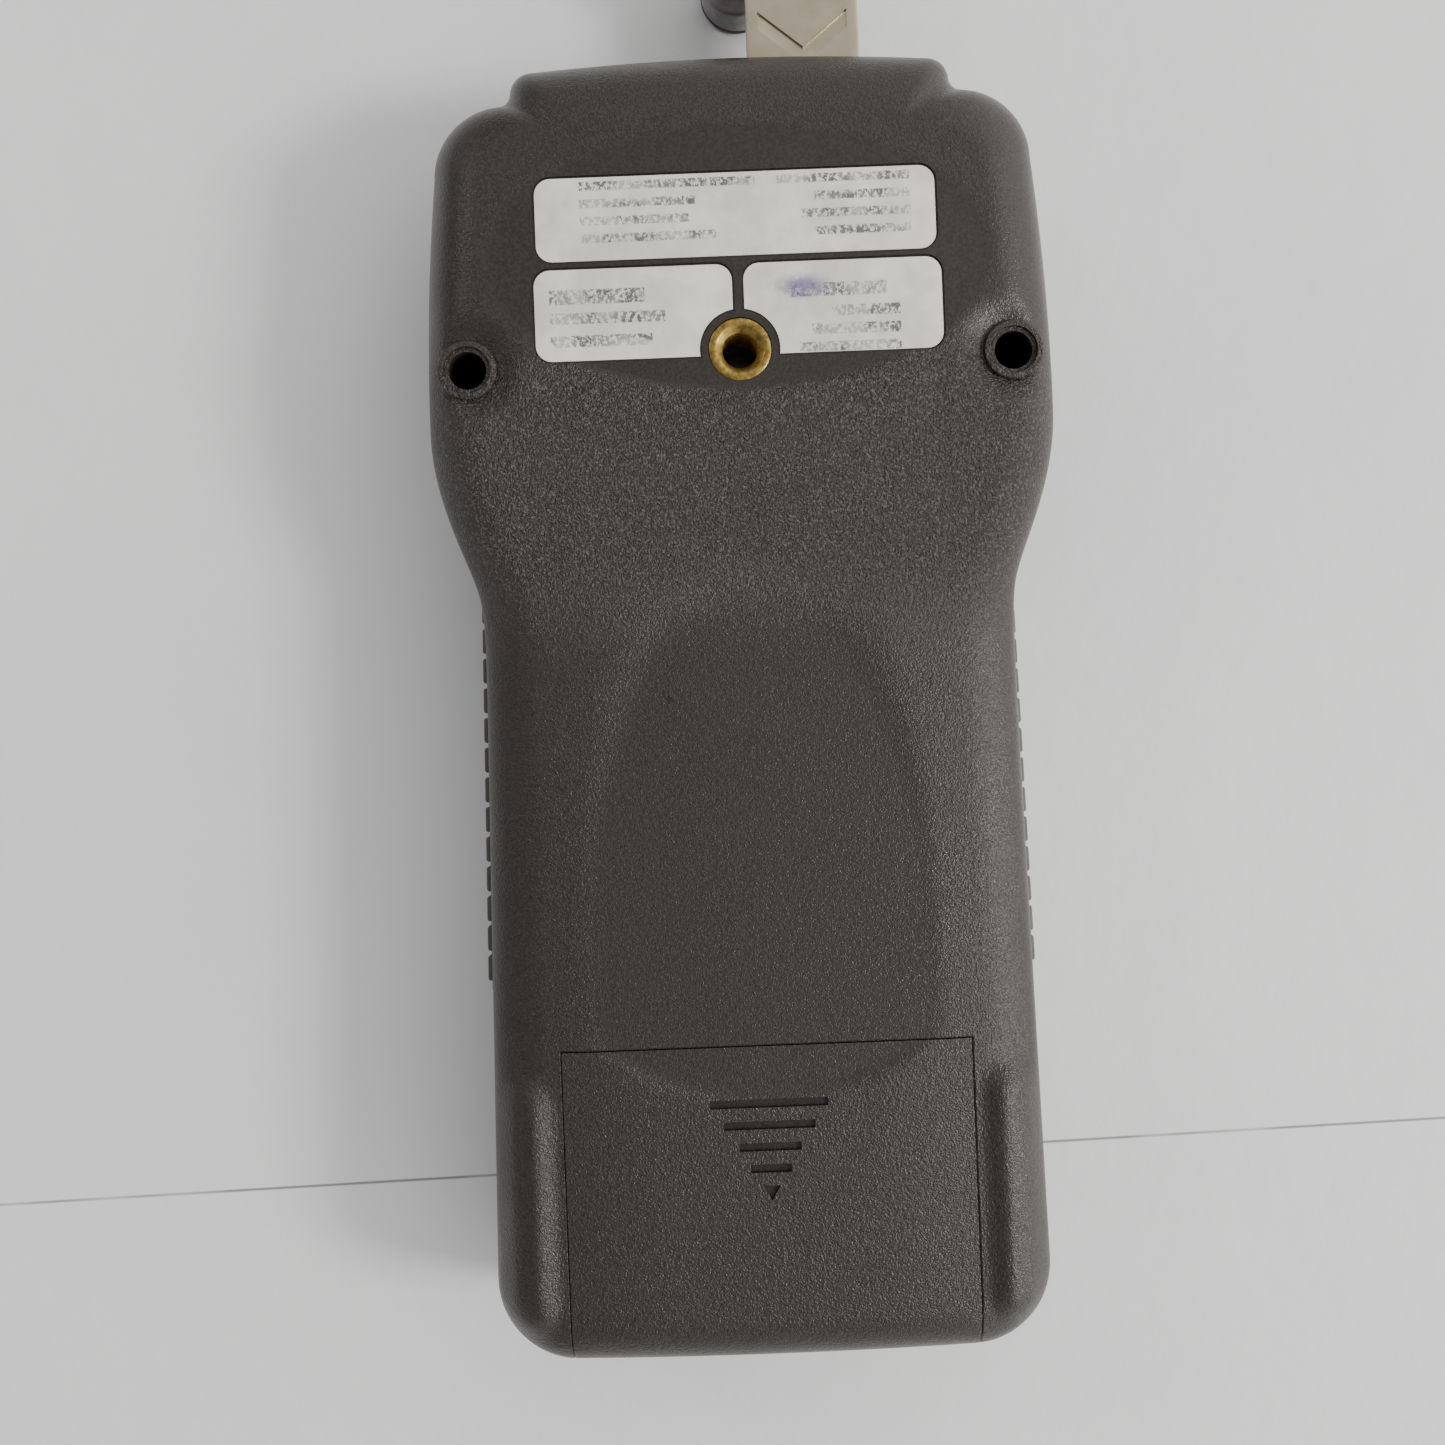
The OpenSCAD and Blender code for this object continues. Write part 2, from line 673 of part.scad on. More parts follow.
// ---- Electronics -----------------------------------------------------------------------------
module main_board() {
    head_hw = head_w / 2 - 12.6;
    handle_hw = waist_w / 2 - 5.6;
    color([0.1, 0.3, 0.18]) difference() {
        translate([0, 0, board_z]) linear_extrude(height = board_t) polygon([
            [-handle_hw, board_low_y], [handle_hw, board_low_y], [handle_hw, waist_y],
            [head_hw, waist_y + 8], [head_hw, board_high_y - 10], [head_hw - 8, board_high_y],
            [8 - head_hw, board_high_y], [-head_hw, board_high_y - 10], [-head_hw, waist_y + 8],
            [-handle_hw, waist_y]]);
        for (x = [-post_x, post_x], y = post_ys) rod([x, y, 0], board_screw_r + 0.2, 20);
    }
}

module board_screws() {
    color("silver") for (x = [-post_x, post_x], y = post_ys) {
        rod([x, y, wall + 0.6], board_screw_r, board_top - wall);
        rod([x, y, board_top], 2.2, 1.4);
    }
}

module main_chip() {
    color([0.08, 0.08, 0.08]) translate([0, waist_y + 4, board_top]) slab(14, 14, 1.5, 0.4);
}

module small_chips() {
    color([0.08, 0.08, 0.08]) for (p = [[-18, 40], [-18, 54], [18, 40], [4, 0]])
        translate([p[0], waist_y - 18 + p[1], board_top]) slab(4, 9, 1.6, 0.3);
}

module capacitors() {
    color([0.2, 0.25, 0.45]) for (p = [[20, -8], [20, -17], [12, -30]])
        rod([p[0], waist_y + p[1], board_top], 3.1, 7.5);
}

module crystal_can() {
    color("silver") translate([-14, waist_y + 4, board_top]) slab(4.5, 11, 3.4, 2.2);
}

module buzzer() {
    color([0.07, 0.07, 0.07]) difference() {
        rod([-18, waist_y - 28, board_top], 6, 5.4);
        rod([-18, waist_y - 28, board_top + 4], 1, 4);
    }
}

module probe_socket() {
    hollow_w = blade_w + 2 * blade_gap;
    hollow_t = blade_t + 2 * blade_gap;
    color([0.1, 0.1, 0.1]) {
        difference() {
            box([blade_x - socket_w / 2, socket_y0, board_top],
                [blade_x + socket_w / 2, socket_y1, blade_z + blade_t / 2 + 2.2]);
            box([blade_x - hollow_w / 2, top_y - blade_in - 0.6, blade_z - hollow_t / 2],
                [blade_x + hollow_w / 2, top_y, blade_z + hollow_t / 2]);
        }
        box([blade_x - tongue_w / 2, top_y - blade_in - 1, blade_z - tongue_t / 2],
            [blade_x + tongue_w / 2, top_y - blade_in - 0.6 + tongue_l, blade_z + tongue_t / 2]);
    }
}

module socket_contacts() {
    pitch = tongue_w / 6;
    color([0.8, 0.65, 0.3]) for (i = [0 : 5])
        translate([blade_x - tongue_w / 2 + pitch * (i + 0.5), 0, 0])
            box([-0.6, top_y - blade_in - 0.4, blade_z + tongue_t / 2],
                [0.6, top_y - blade_in - 1.4 + tongue_l, blade_z + tongue_t / 2 + 0.1]);
}

// ---- Probe ------------------------------------------------------------------------------------
// The arrow that is sunk into the blade and points into the case.
module arrow() {
    half_w = 7.1;
    arm = 2.9;
    deep = 5.8;
    polygon([[-half_w, 0], [0, -deep], [half_w, 0], [half_w, -arm], [0, -deep - arm], [-half_w, -arm]]);
}

module probe_blade() {
    arrow_y = top_y + 10.6;
    arrow_deep = 0.25;
    color([0.72, 0.69, 0.62]) difference() {
        union() {
            translate([blade_x, top_y - blade_in + (blade_in + blade_out) / 2, blade_low])
                slab(blade_w, blade_in + blade_out, blade_t, 1.6);
            rod([puck_x, puck_y, blade_low], lug_r, blade_t);
            box([puck_x, puck_y - lug_r, blade_low], [blade_x, puck_y + lug_r, blade_z + blade_t / 2]);
        }
        translate([blade_x, arrow_y, blade_z + blade_t / 2 - arrow_deep])
            linear_extrude(height = 1) arrow();
        box([blade_x - tongue_w / 2 - slot_gap, top_y - blade_in - 1, blade_z - tongue_t / 2 - slot_gap],
            [blade_x + tongue_w / 2 + slot_gap, top_y - blade_in + tongue_l + 0.4,
             blade_z + tongue_t / 2 + slot_gap + 0.1]);
        rod([puck_x, puck_y, 0], 1.5, case_h);
    }
}

module blade_contacts() {
    pitch = tongue_w / 6;
    color([0.8, 0.65, 0.3]) for (i = [0 : 5])
        translate([blade_x - tongue_w / 2 + pitch * (i + 0.5), 0, 0])
            box([-0.5, top_y - blade_in + 0.5, blade_z + tongue_t / 2 + slot_gap],
                [0.5, top_y - blade_in + tongue_l - 0.5, blade_z + tongue_t / 2 + slot_gap + 0.1]);
}

module sensor_puck() {
    neck_r = 3.4;
    color([0.36, 0.34, 0.35]) difference() {
        union() {
            rod([puck_x, puck_y, puck_z + 1], puck_r, puck_h - 1);
            rod([puck_x, puck_y, puck_z + 1], neck_r, blade_low - puck_z - 1);
        }
        rod([puck_x, puck_y, blade_low - 6], 1.5, case_h);
    }
}

module puck_base() {
    color([0.3, 0.18, 0.17]) rod([puck_x, puck_y, puck_z], puck_r + 0.1, 1);
}

module puck_rivet() {
    color("silver") {
        rod([puck_x, puck_y, blade_low - 6], 1.5, blade_t + 6);
        rod([puck_x, puck_y, blade_z + blade_t / 2], 2.8, 0.9);
    }
}

place() back_shell();
place() front_shell();
place() battery_door();
place() door_pad();
place() battery();
place() battery_snap();
place() battery_lead(-0.9, [0.7, 0.1, 0.1]);  // battery_lead_red
place() battery_lead(0.9, [0.05, 0.05, 0.05]);  // battery_lead_black
place() grip(-1);  // left_grip
place() grip(1);  // right_grip
place() tripod_insert();
place() upper_case_screws();
place() lower_case_screws();
place() label(top_label[0], top_label[1], 0, top_label_y);  // label_top
place() label(low_label[0], low_label[1], -low_label_x, low_label_y);  // label_left
place() label(low_label[0], low_label[1], low_label_x, low_label_y);  // label_right
place() display_window();
place() lcd_frame();
place() lcd_panel();
place() zebra_strips();
place() keypad_overlay();
place() key(0, 0, [0.55, 0.16, 0.13]);  // power_key
place() key(1, 0, [0.45, 0.45, 0.44]);  // hold_key
place() key(0, 1, [0.45, 0.45, 0.44]);  // zero_key
place() key(1, 1, [0.45, 0.45, 0.44]);  // range_key
place() key(0, 2, [0.45, 0.45, 0.44]);  // mode_key
place() key(1, 2, [0.45, 0.45, 0.44]);  // light_key
place() key_domes();
place() main_board();
place() board_screws();
place() main_chip();
place() small_chips();
place() capacitors();
place() crystal_can();
place() buzzer();
place() probe_socket();
place() socket_contacts();
place() probe_blade();
place() blade_contacts();
place() sensor_puck();
place() puck_base();
place() puck_rivet();
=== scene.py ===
"""Looks for the hand-held probe detector. All sizes are in millimetres about the middle of the case,
and turn into the row frame's metres where a mesh is made."""

import math

import bmesh
import bpy
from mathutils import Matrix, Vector


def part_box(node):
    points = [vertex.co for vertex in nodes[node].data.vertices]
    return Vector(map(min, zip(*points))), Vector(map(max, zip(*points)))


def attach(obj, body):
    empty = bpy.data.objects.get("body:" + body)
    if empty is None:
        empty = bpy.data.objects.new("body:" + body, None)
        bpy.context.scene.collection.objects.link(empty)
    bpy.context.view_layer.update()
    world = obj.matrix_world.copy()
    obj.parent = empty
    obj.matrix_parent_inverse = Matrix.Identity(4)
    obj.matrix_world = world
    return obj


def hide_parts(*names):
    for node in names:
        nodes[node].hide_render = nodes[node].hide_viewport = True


MM = 0.001
CASE_SHIFT = -18.0

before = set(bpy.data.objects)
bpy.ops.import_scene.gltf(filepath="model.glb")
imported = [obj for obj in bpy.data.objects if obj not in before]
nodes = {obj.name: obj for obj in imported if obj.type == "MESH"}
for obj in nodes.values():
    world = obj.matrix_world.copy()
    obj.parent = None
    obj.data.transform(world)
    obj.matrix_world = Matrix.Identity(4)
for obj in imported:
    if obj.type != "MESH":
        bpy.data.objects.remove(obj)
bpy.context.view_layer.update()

# ---- Sizes, as in the CAD part ----
TOP_Y, BUTT_Y = 100.0, -100.0
CASE_H, FRONT_H = 38.0, 15.0
HEAD_HW, WAIST_HW, BUTT_HW, COLLAR_HW = 48.2, 40.6, 42.8, 34.0
SHOULDER_Y = TOP_Y - 6.6
WAIST_Y, NECK_L = 18.0, 26.0
HEAD_LEAN, COLLAR_ARCH = 2.1, 1.2
BUTT_R, HEAD_R, STEP_R, COLLAR_R = 12.0, 10.7, 2.4, 3.4
SIDE_INSET, BUTT_INSET, TOP_INSET = 9.0, 8.0, 13.0
WALL = 2.4
BACK_ROUND, FRONT_ROUND, FRONT_SHARE = 10.0, 5.0, 0.45
SADDLE = 1.6
SADDLE_TOP = WAIST_Y + NECK_L + 2
HANDLE_H = CASE_H - SADDLE
SPRING_Z = CASE_H - BACK_ROUND
LIP = 0.25

DOOR_HW, DOOR_TOP, DOOR_T, DOOR_GAP = 31.0, -51.0, 2.0, 0.15
UNDER_DOOR = HANDLE_H - DOOR_T
BAY_FLOOR, BAY_SKIN = 16.0, 1.0
BAY_X, BAY_END = DOOR_HW - 1.6, BUTT_Y + 4.1
TAB_X, TAB_W, TAB_L = 18.0, 8.0, 4.0
TAB_TOP, TAB_LOW = HANDLE_H - 1.5, UNDER_DOOR - 0.55
LEAD_X, LEAD_Z, LEAD_HOLE_R = BAY_X - 3.2, BAY_FLOOR + 6, 2.4
LOW_SCREW = (DOOR_HW - 5, BUTT_Y + 8.2)
GROOVE_WS = (17.8, 13.8, 9.4, 6.2)
GROOVE_Y, GROOVE_PITCH, GROOVE_L, GROOVE_DEEP = BUTT_Y + 40.4, 3.25, 1.3, 0.6

INSERT_Y, INSERT_R, INSERT_L, BORE_R = TOP_Y - 47, 4.75, 9.5, 2.6
WELL_X, WELL_Y, WELL_R, BOSS_R = 40.8, TOP_Y - 48.5, 2.83, 4.4
WELL_RIM, WELL_FLOOR, WELL_SINK = CASE_H - 0.4, FRONT_H + 3, 0.6
SCREW_R, SHANK_GAP = 1.45, 0.3

LABEL_R, LABEL_GAP, LABEL_SINK, LABEL_T = 2.4, 0.3, 0.35, 0.25
TOP_LABEL = (59.6, 12.4, 0.0, TOP_Y - 26.9)
LOW_LABEL_Y, LOW_LABEL_X = INSERT_Y + 5.9, 15.6
LOW_LABEL_W, LOW_LABEL_L = 29.5, 13.6
RING_R = INSERT_R + 0.95

GRIP_Z = (8.0, 24.0)
GRIP_SLOPE = math.atan((BUTT_HW - WAIST_HW) / (WAIST_Y - BUTT_Y - BUTT_R))
RIB_N, RIB_PITCH, RIB_GAP, RIB_OUT = 13, 4.73, 0.75, 1.7
GRIP_L = RIB_N * RIB_PITCH + 2
GRIP_IN, GRIP_OUT, GRIP_GAP = 1.2, 0.9, 0.1

BLADE_X, BLADE_Z, BLADE_W, BLADE_T = 12.2, 20.0, 17.8, 4.6
BLADE_IN, BLADE_OUT, BLADE_GAP = 12.0, 36.0, 0.25
PUCK_X, PUCK_Y, PUCK_R, PUCK_H, PUCK_Z = BLADE_X - 9.7, TOP_Y + 23.7, 6.15, 7.0, 0.4
BLADE_LOW, BLADE_TOP = BLADE_Z - BLADE_T / 2, BLADE_Z + BLADE_T / 2
ARROW_Y, RIVET_R, SOLID_R = TOP_Y + 10.6, 1.5, 0.02

WINDOW_Y, WINDOW_W, WINDOW_L = TOP_Y - 44, 59.0, 34.0
PAD_Y, PAD_W, PAD_L, PAD_SINK = WAIST_Y - 32, 56.0, 76.0, 1.2
KEY_XS, KEY_YS = (-14.0, 14.0), (PAD_Y + 24, PAD_Y + 4, PAD_Y - 16)
KEY_W, KEY_L, KEY_GAP = 16.0, 9.6, 0.3
POST_X, POST_YS = 30.0, (DOOR_TOP + 11, TOP_Y - 13.5)

# ---- Mesh helpers ----


def solid(name, points, faces):
    """A mesh object from points in millimetres about the middle of the case."""
    mesh = bpy.data.meshes.new(name)
    mesh.from_pydata([(x * MM, (y + CASE_SHIFT) * MM, z * MM) for x, y, z in points], [], faces)
    obj = bpy.data.objects.new(name, mesh)
    bpy.context.scene.collection.objects.link(obj)
    return obj


def stack(name, rings):
    """A solid through equal closed rings of points, listed one after another."""
    n = len(rings[0])
    points = [p for ring in rings for p in ring]
    faces = []
    for k in range(len(rings) - 1):
        for i in range(n):
            j = (i + 1) % n
            faces.append((k * n + i, k * n + j, (k + 1) * n + j, (k + 1) * n + i))
    faces.append(tuple(reversed(range(n))))
    last = (len(rings) - 1) * n
    faces.append(tuple(range(last, last + n)))
    obj = solid(name, points, faces)
    outward(obj)
    return obj


def outward(obj):
    """Turns every face of a closed mesh to the outside."""
    bm = bmesh.new()
    bm.from_mesh(obj.data)
    bmesh.ops.remove_doubles(bm, verts=bm.verts, dist=1e-7)
    bmesh.ops.recalc_face_normals(bm, faces=bm.faces)
    bm.to_mesh(obj.data)
    bm.free()


def revolve(name, columns, centre):
    """A closed ring of columns of (radius, height), which stand evenly round an upright axis."""
    n = len(columns[0])
    points, faces = [], []
    for s, column in enumerate(columns):
        a = 2 * math.pi * s / len(columns)
        points += [(centre[0] + r * math.cos(a), centre[1] + r * math.sin(a), z) for r, z in column]
        t = (s + 1) % len(columns)
        for i in range(n):
            j = (i + 1) % n
            faces.append((s * n + i, t * n + i, t * n + j, s * n + j))
    obj = solid(name, points, faces)
    outward(obj)
    return obj


def lathe(name, profile, centre, segments=96):
    """Turns a closed profile of (radius, height) about an upright axis at centre."""
    obj = revolve(name, [profile] * segments, centre)
    bm = bmesh.new()
    bm.from_mesh(obj.data)
    bmesh.ops.dissolve_degenerate(bm, edges=bm.edges, dist=1e-8)
    bm.to_mesh(obj.data)
    bm.free()
    return obj


def rod(name, centre, r, z0, z1, segments=64, edge=0.0):
    """An upright round rod, with its ends' edges rounded by edge."""
    rings = [(r - inset, z) for inset, z in edge_steps(edge, z0, z1)]
    return stack(name, [[(centre[0] + q * math.cos(2 * math.pi * i / segments),
                          centre[1] + q * math.sin(2 * math.pi * i / segments), z)
                         for i in range(segments)] for q, z in rings])


def edge_steps(edge, z0, z1, steps=4):
    """Pairs of (inset, height) up a side whose lower and upper edges are rounded by edge."""
    if edge <= 0:
        return [(0, z0), (0, z1)]
    turn = [math.radians(90 * i / steps) for i in range(steps + 1)]
    low = [(edge * (1 - math.sin(a)), z0 + edge * (1 - math.cos(a))) for a in turn]
    high = [(edge * (1 - math.cos(a)), z1 - edge * (1 - math.sin(a))) for a in turn]
    return low + high


def rounded_ring(w, l, r, x, y, z, corner=8):
    """A rectangle with round corners, as a closed ring of points."""
    points = []
    for cx, cy, a0 in ((1, 1, 0), (-1, 1, 90), (-1, -1, 180), (1, -1, 270)):
        points += arc(x + cx * (w / 2 - r), y + cy * (l / 2 - r), r, a0, a0 + 90, corner)
    return [(px, py, z) for px, py in points]


def slab(name, w, l, r, x, y, z0, z1, edge=0.0):
    """A flat piece with round corners in plan and rounded edges."""
    return stack(name, [rounded_ring(w - 2 * q, l - 2 * q, max(r - q, 0.02), x, y, z)
                        for q, z in edge_steps(edge, z0, z1)])


def block(name, lo, hi):
    x0, y0, z0 = lo
    x1, y1, z1 = hi
    ring = [(x0, y0), (x1, y0), (x1, y1), (x0, y1)]
    return stack(name, [[(x, y, z) for x, y in ring] for z in (z0, z1)])


def side_prism(name, profile, x0, x1):
    """A profile of (y, z) run across the case."""
    return stack(name, [[(x, y, z) for y, z in profile] for x in (x0, x1)])


def tube(name, path, r, across, segments=10):
    """A round bar along a path that lies in the plane square to across, with flat ends."""
    side = Vector(across)
    rings = []
    for i, p in enumerate(path):
        a = Vector(path[max(i - 1, 0)])
        b = Vector(path[min(i + 1, len(path) - 1)])
        up = side.cross(b - a).normalized()
        rings.append([tuple(Vector(p) + r * (math.cos(t) * side + math.sin(t) * up))
                      for t in (2 * math.pi * k / segments for k in range(segments))])
    return stack(name, rings)


def drop(obj):
    mesh = obj.data
    bpy.data.objects.remove(obj)
    bpy.data.meshes.remove(mesh)


def settle(obj):
    """Makes a piece's modifiers part of its mesh."""
    bpy.context.view_layer.update()
    made = bpy.data.meshes.new_from_object(obj.evaluated_get(bpy.context.evaluated_depsgraph_get()))
    old = obj.data
    obj.modifiers.clear()
    obj.data = made
    bpy.data.meshes.remove(old)


def combine(target, other, operation):
    """Applies an exact boolean to target and drops the other object."""
    m = target.modifiers.new("combine", "BOOLEAN")
    m.operation = operation
    m.solver = "EXACT"
    m.object = other
    settle(target)
    drop(other)


def cut(target, *others):
    for other in others:
        combine(target, other, "DIFFERENCE")


def add(target, *others):
    for other in others:
        combine(target, other, "UNION")


def join(name, objs):
    """One object from several, without cutting them into each other."""
    bm = bmesh.new()
    for o in objs:
        bm.from_mesh(o.data)
    mesh = bpy.data.meshes.new(name)
    bm.to_mesh(mesh)
    bm.free()
    for o in objs:
        drop(o)
    obj = bpy.data.objects.new(name, mesh)
    bpy.context.scene.collection.objects.link(obj)
    return obj


def round_edges(obj, width):
    """Rounds every edge of a piece, as part of its mesh."""
    m = obj.modifiers.new("round", "BEVEL")
    m.width = width * MM
    m.segments = 3
    settle(obj)


def smooth(obj, angle=35):
    """Smooth shading with sharp edges where faces meet at more than angle."""
    obj.data.polygons.foreach_set("use_smooth", [True] * len(obj.data.polygons))
    obj.data.set_sharp_from_angle(angle=math.radians(angle))
    obj.data.update()


def ease(u):
    """A smooth step from 0 to 1."""
    u = min(max(u, 0.0), 1.0)
    return u * u * (3 - 2 * u)


# ---- The case's form ----


def arc(cx, cy, r, a0, a1, n):
    """Points on an arc from a0 to a1 degrees."""
    turn = [math.radians(a0 + (a1 - a0) * i / n) for i in range(n + 1)]
    return [(cx + r * math.cos(a), cy + r * math.sin(a)) for a in turn]


def between(p, q, n):
    """The points that divide a line into n, without its ends."""
    return [(p[0] + (q[0] - p[0]) * i / n, p[1] + (q[1] - p[1]) * i / n) for i in range(1, n)]


def neck_flare(u):
    """Share of the neck's flare at a share u of its length, with a soft start."""
    soft = 0.16
    v = (u + math.sqrt(u * u + soft * soft)) / 2
    return math.sin(math.pi / 2 * min(v, 1.0))


def half_outline(hw, ys, rs, arch):
    """Right half of a plan outline, from the butt to the middle of the collar. The half widths hw are
    those of butt, waist, head and collar; the heights ys are butt, shoulder and top; and the radii rs
    are those of butt corner, head corner, step and collar corner."""
    butt = arc(hw[0] - rs[0], ys[0] + rs[0], rs[0], -90, 0, 20)
    flare = hw[2] - hw[1]
    start = butt[-1]
    side = []
    for x, y in between(start, (hw[1], WAIST_Y), 110):
        side.append((x + flare * neck_flare((y - WAIST_Y) / NECK_L), y))
    neck = [(hw[1] + flare * neck_flare(i / 40), WAIST_Y + NECK_L * i / 40) for i in range(41)]
    head_y = WAIST_Y + NECK_L
    head_l = ys[1] - rs[1] - head_y
    head = [(hw[2] - HEAD_LEAN * (i / 40) ** 2, head_y + head_l * i / 40) for i in range(1, 40)]
    corner = arc(hw[2] - HEAD_LEAN - rs[1], ys[1] - rs[1], rs[1], 0, 84, 18)
    step = arc(hw[3] + rs[2], ys[1] + rs[2], rs[2], 262, 184, 10)
    collar = arc(hw[3] - rs[3], ys[2] - arch - rs[3], rs[3], 4, 86, 12)
    top = [((hw[3] - rs[3]) * (1 - i / 40), ys[2] - arch * (1 - i / 40) ** 2) for i in range(1, 41)]
    return (butt + side + neck + head + corner + between(corner[-1], step[0], 14) + step
            + between(step[-1], collar[0], 3) + collar + top)


SILHOUETTE = half_outline([BUTT_HW, WAIST_HW, HEAD_HW, COLLAR_HW], [BUTT_Y, SHOULDER_Y, TOP_Y],
                          [BUTT_R, HEAD_R, STEP_R, COLLAR_R], COLLAR_ARCH)
PLATEAU = half_outline([w - SIDE_INSET for w in (BUTT_HW, WAIST_HW, HEAD_HW, COLLAR_HW)],
                       [BUTT_Y + BUTT_INSET, TOP_Y - TOP_INSET - 1.1, TOP_Y - TOP_INSET],
                       [6.0, 8.5, 0.25, 0.3], 0.5)
HALF_N = len(SILHOUETTE)
COLUMNS = 76


def butt_bow(x, y):
    """The butt is a little bowed: its corners lie further in than its middle."""
    return 0.8 * (x / BUTT_HW) ** 2 * ease((-70 - y) / 20)


def plan(t):
    """The closed outline a share t of the way from the silhouette to the plateau."""
    half = [(a[0] + (b[0] - a[0]) * t, a[1] + (b[1] - a[1]) * t) for a, b in zip(SILHOUETTE, PLATEAU)]
    ring = half + [(-x, y) for x, y in reversed(half[:-1])]
    x0, y0 = half[0]
    ring += [(-x0 + 2 * x0 * j / COLUMNS, y0) for j in range(1, COLUMNS)]
    return [(x, y + butt_bow(x, y)) for x, y in ring]


CROWN, CROWN_X = 1.0, 16.0
PALM_HW, PALM_MID, PALM_RISE, PALM_DEEP = 26.7, DOOR_TOP + 15, 58.0, 0.36
PALM_ARC_Y, PALM_ARC_R = PALM_MID + 19, 42.0
FLAT_Y, FLAT_RX, FLAT_RY, FLAT_DEEP = 66.5, 37.5, 19.6, 0.14
HEEL_X, HEEL_Y0, HEEL_Y1, HEEL_HW, HEEL_END, HEEL_RISE = 37.2, -90.0, -60.0, 4.4, 5.0, 1.6
MOAT_R, MOAT_SINK, MOAT_SLOPE, MOAT_SOFT = 9.0, 1.3, 0.35, 0.35


def crown(x, y):
    """How far the handle's back falls away towards its sides."""
    beyond = max(abs(x) - CROWN_X, 0) / (BUTT_HW - SIDE_INSET - CROWN_X)
    return CROWN * beyond * beyond * ease((40 - y) / 35)


def palm(x, y):
    """How far the flat that is cut for the palm lies below the crowned back."""
    if y > PALM_MID:
        inside = PALM_HW * (1 - math.hypot(x / PALM_HW, (y - PALM_MID) / PALM_RISE))
    else:
        inside = PALM_HW - abs(x)
    if y < PALM_ARC_Y:
        inside = min(inside, PALM_ARC_R - math.hypot(x, y - PALM_ARC_Y))
    edge = 2.4 + 6 * ease((y + 40) / 75)
    deep = max(PALM_DEEP - crown(x, y), 0.0)
    return deep * ease(inside / edge + 0.5) * ease((44 - y) / 40)


def label_flat(x, y):
    """Depth of the smooth oval flat around the labels, which fades out upwards and sideways."""
    inside = FLAT_RY * (1 - math.hypot(x / FLAT_RX, (y - FLAT_Y) / FLAT_RY))
    fade = ease((FLAT_Y + 2 - y) / 14) * ease((36 - abs(x)) / 12)
    return FLAT_DEEP * ease(inside / 1.1 + 0.5) * fade


def heel(x, y):
    """Rise of the rounded heels beside the battery door."""
    across = abs(abs(x) - HEEL_X) / HEEL_HW
    beyond = max(HEEL_Y0 - y, y - HEEL_Y1, 0) / HEEL_END
    reach = math.hypot(across, beyond)
    return HEEL_RISE * ease(1.25 - reach) if reach < 1.25 else 0.0


def moat(x, y, z):
    """The dished ring round each screw well, no higher than a cone that rises outwards."""
    r = math.hypot(abs(x) - WELL_X, y - WELL_Y)
    if r > MOAT_R:
        return z
    top = CASE_H - MOAT_SINK + MOAT_SLOPE * max(r - BOSS_R, 0) ** 1.25
    if abs(z - top) >= 3:
        return min(z, top)
    return -MOAT_SOFT * math.log(math.exp(-z / MOAT_SOFT) + math.exp(-top / MOAT_SOFT))


def back_top(x, y, share):
    """Height of the outside of the back, where share is 0 at the side wall and 1 on the flat."""
    dip = SADDLE * ease((SADDLE_TOP - y) / (SADDLE_TOP - WAIST_Y))
    z = SPRING_Z + share * (BACK_ROUND - dip) + share * heel(x, y)
    if share > 0.9:
        z -= (palm(x, y) + label_flat(x, y)) * ease((share - 0.9) / 0.1)
    z -= crown(x, y) * share * share
    return moat(x, y, z)


def ring_at(t, height):
    """The outline at a share t, lifted to a height that depends on place."""
    return [(x, y, height(x, y)) for x, y in plan(t)]


def grid_lid(count, first, height):
    """Points and faces of the flat top, in rows across it. There are count points before, of which
    those from first on are the last ring."""
    points, faces, rows = [], [], []
    for i in range(HALF_N - 1):
        right, left = first + i, first + 2 * (HALF_N - 1) - i
        row = [right]
        for j in range(1, COLUMNS):
            if i == 0:
                row.append(first + 2 * HALF_N - 1 + (COLUMNS - 1 - j))
                continue
            u = 1 - 2 * j / COLUMNS
            x, y = PLATEAU[i][0] * u, PLATEAU[i][1]
            y += butt_bow(x, y)
            points.append((x, y, height(x, y)))
            row.append(count + len(points) - 1)
        row.append(left)
        rows.append(row)
    for a, b in zip(rows, rows[1:]):
        for j in range(COLUMNS):
            faces.append((a[j], b[j], b[j + 1], a[j + 1]))
    peak = first + HALF_N - 1
    for j in range(COLUMNS):
        faces.append((rows[-1][j], peak, rows[-1][j + 1]))
    return points, faces


def outer_back(name):
    """The closed outside form of the back, down to the joint between the shells."""
    steps = 26
    rings = [ring_at(LIP / SIDE_INSET, lambda x, y: FRONT_H), ring_at(0, lambda x, y: FRONT_H + LIP),
             ring_at(0, lambda x, y: (FRONT_H + SPRING_Z) / 2)]
    for i in range(steps + 1):
        a = math.pi / 2 * i / steps
        rings.append(ring_at(1 - math.cos(a), lambda x, y, s=math.sin(a): back_top(x, y, s)))
    n = len(rings[0])
    points = [p for ring in rings for p in ring]
    faces = [tuple(reversed(range(n)))]
    for k in range(len(rings) - 1):
        for i in range(n):
            j = (i + 1) % n
            faces.append((k * n + i, k * n + j, (k + 1) * n + j, (k + 1) * n + i))
    more, lid = grid_lid(len(points), (len(rings) - 1) * n, lambda x, y: back_top(x, y, 1))
    obj = solid(name, points + more, faces + lid)
    outward(obj)
    return obj


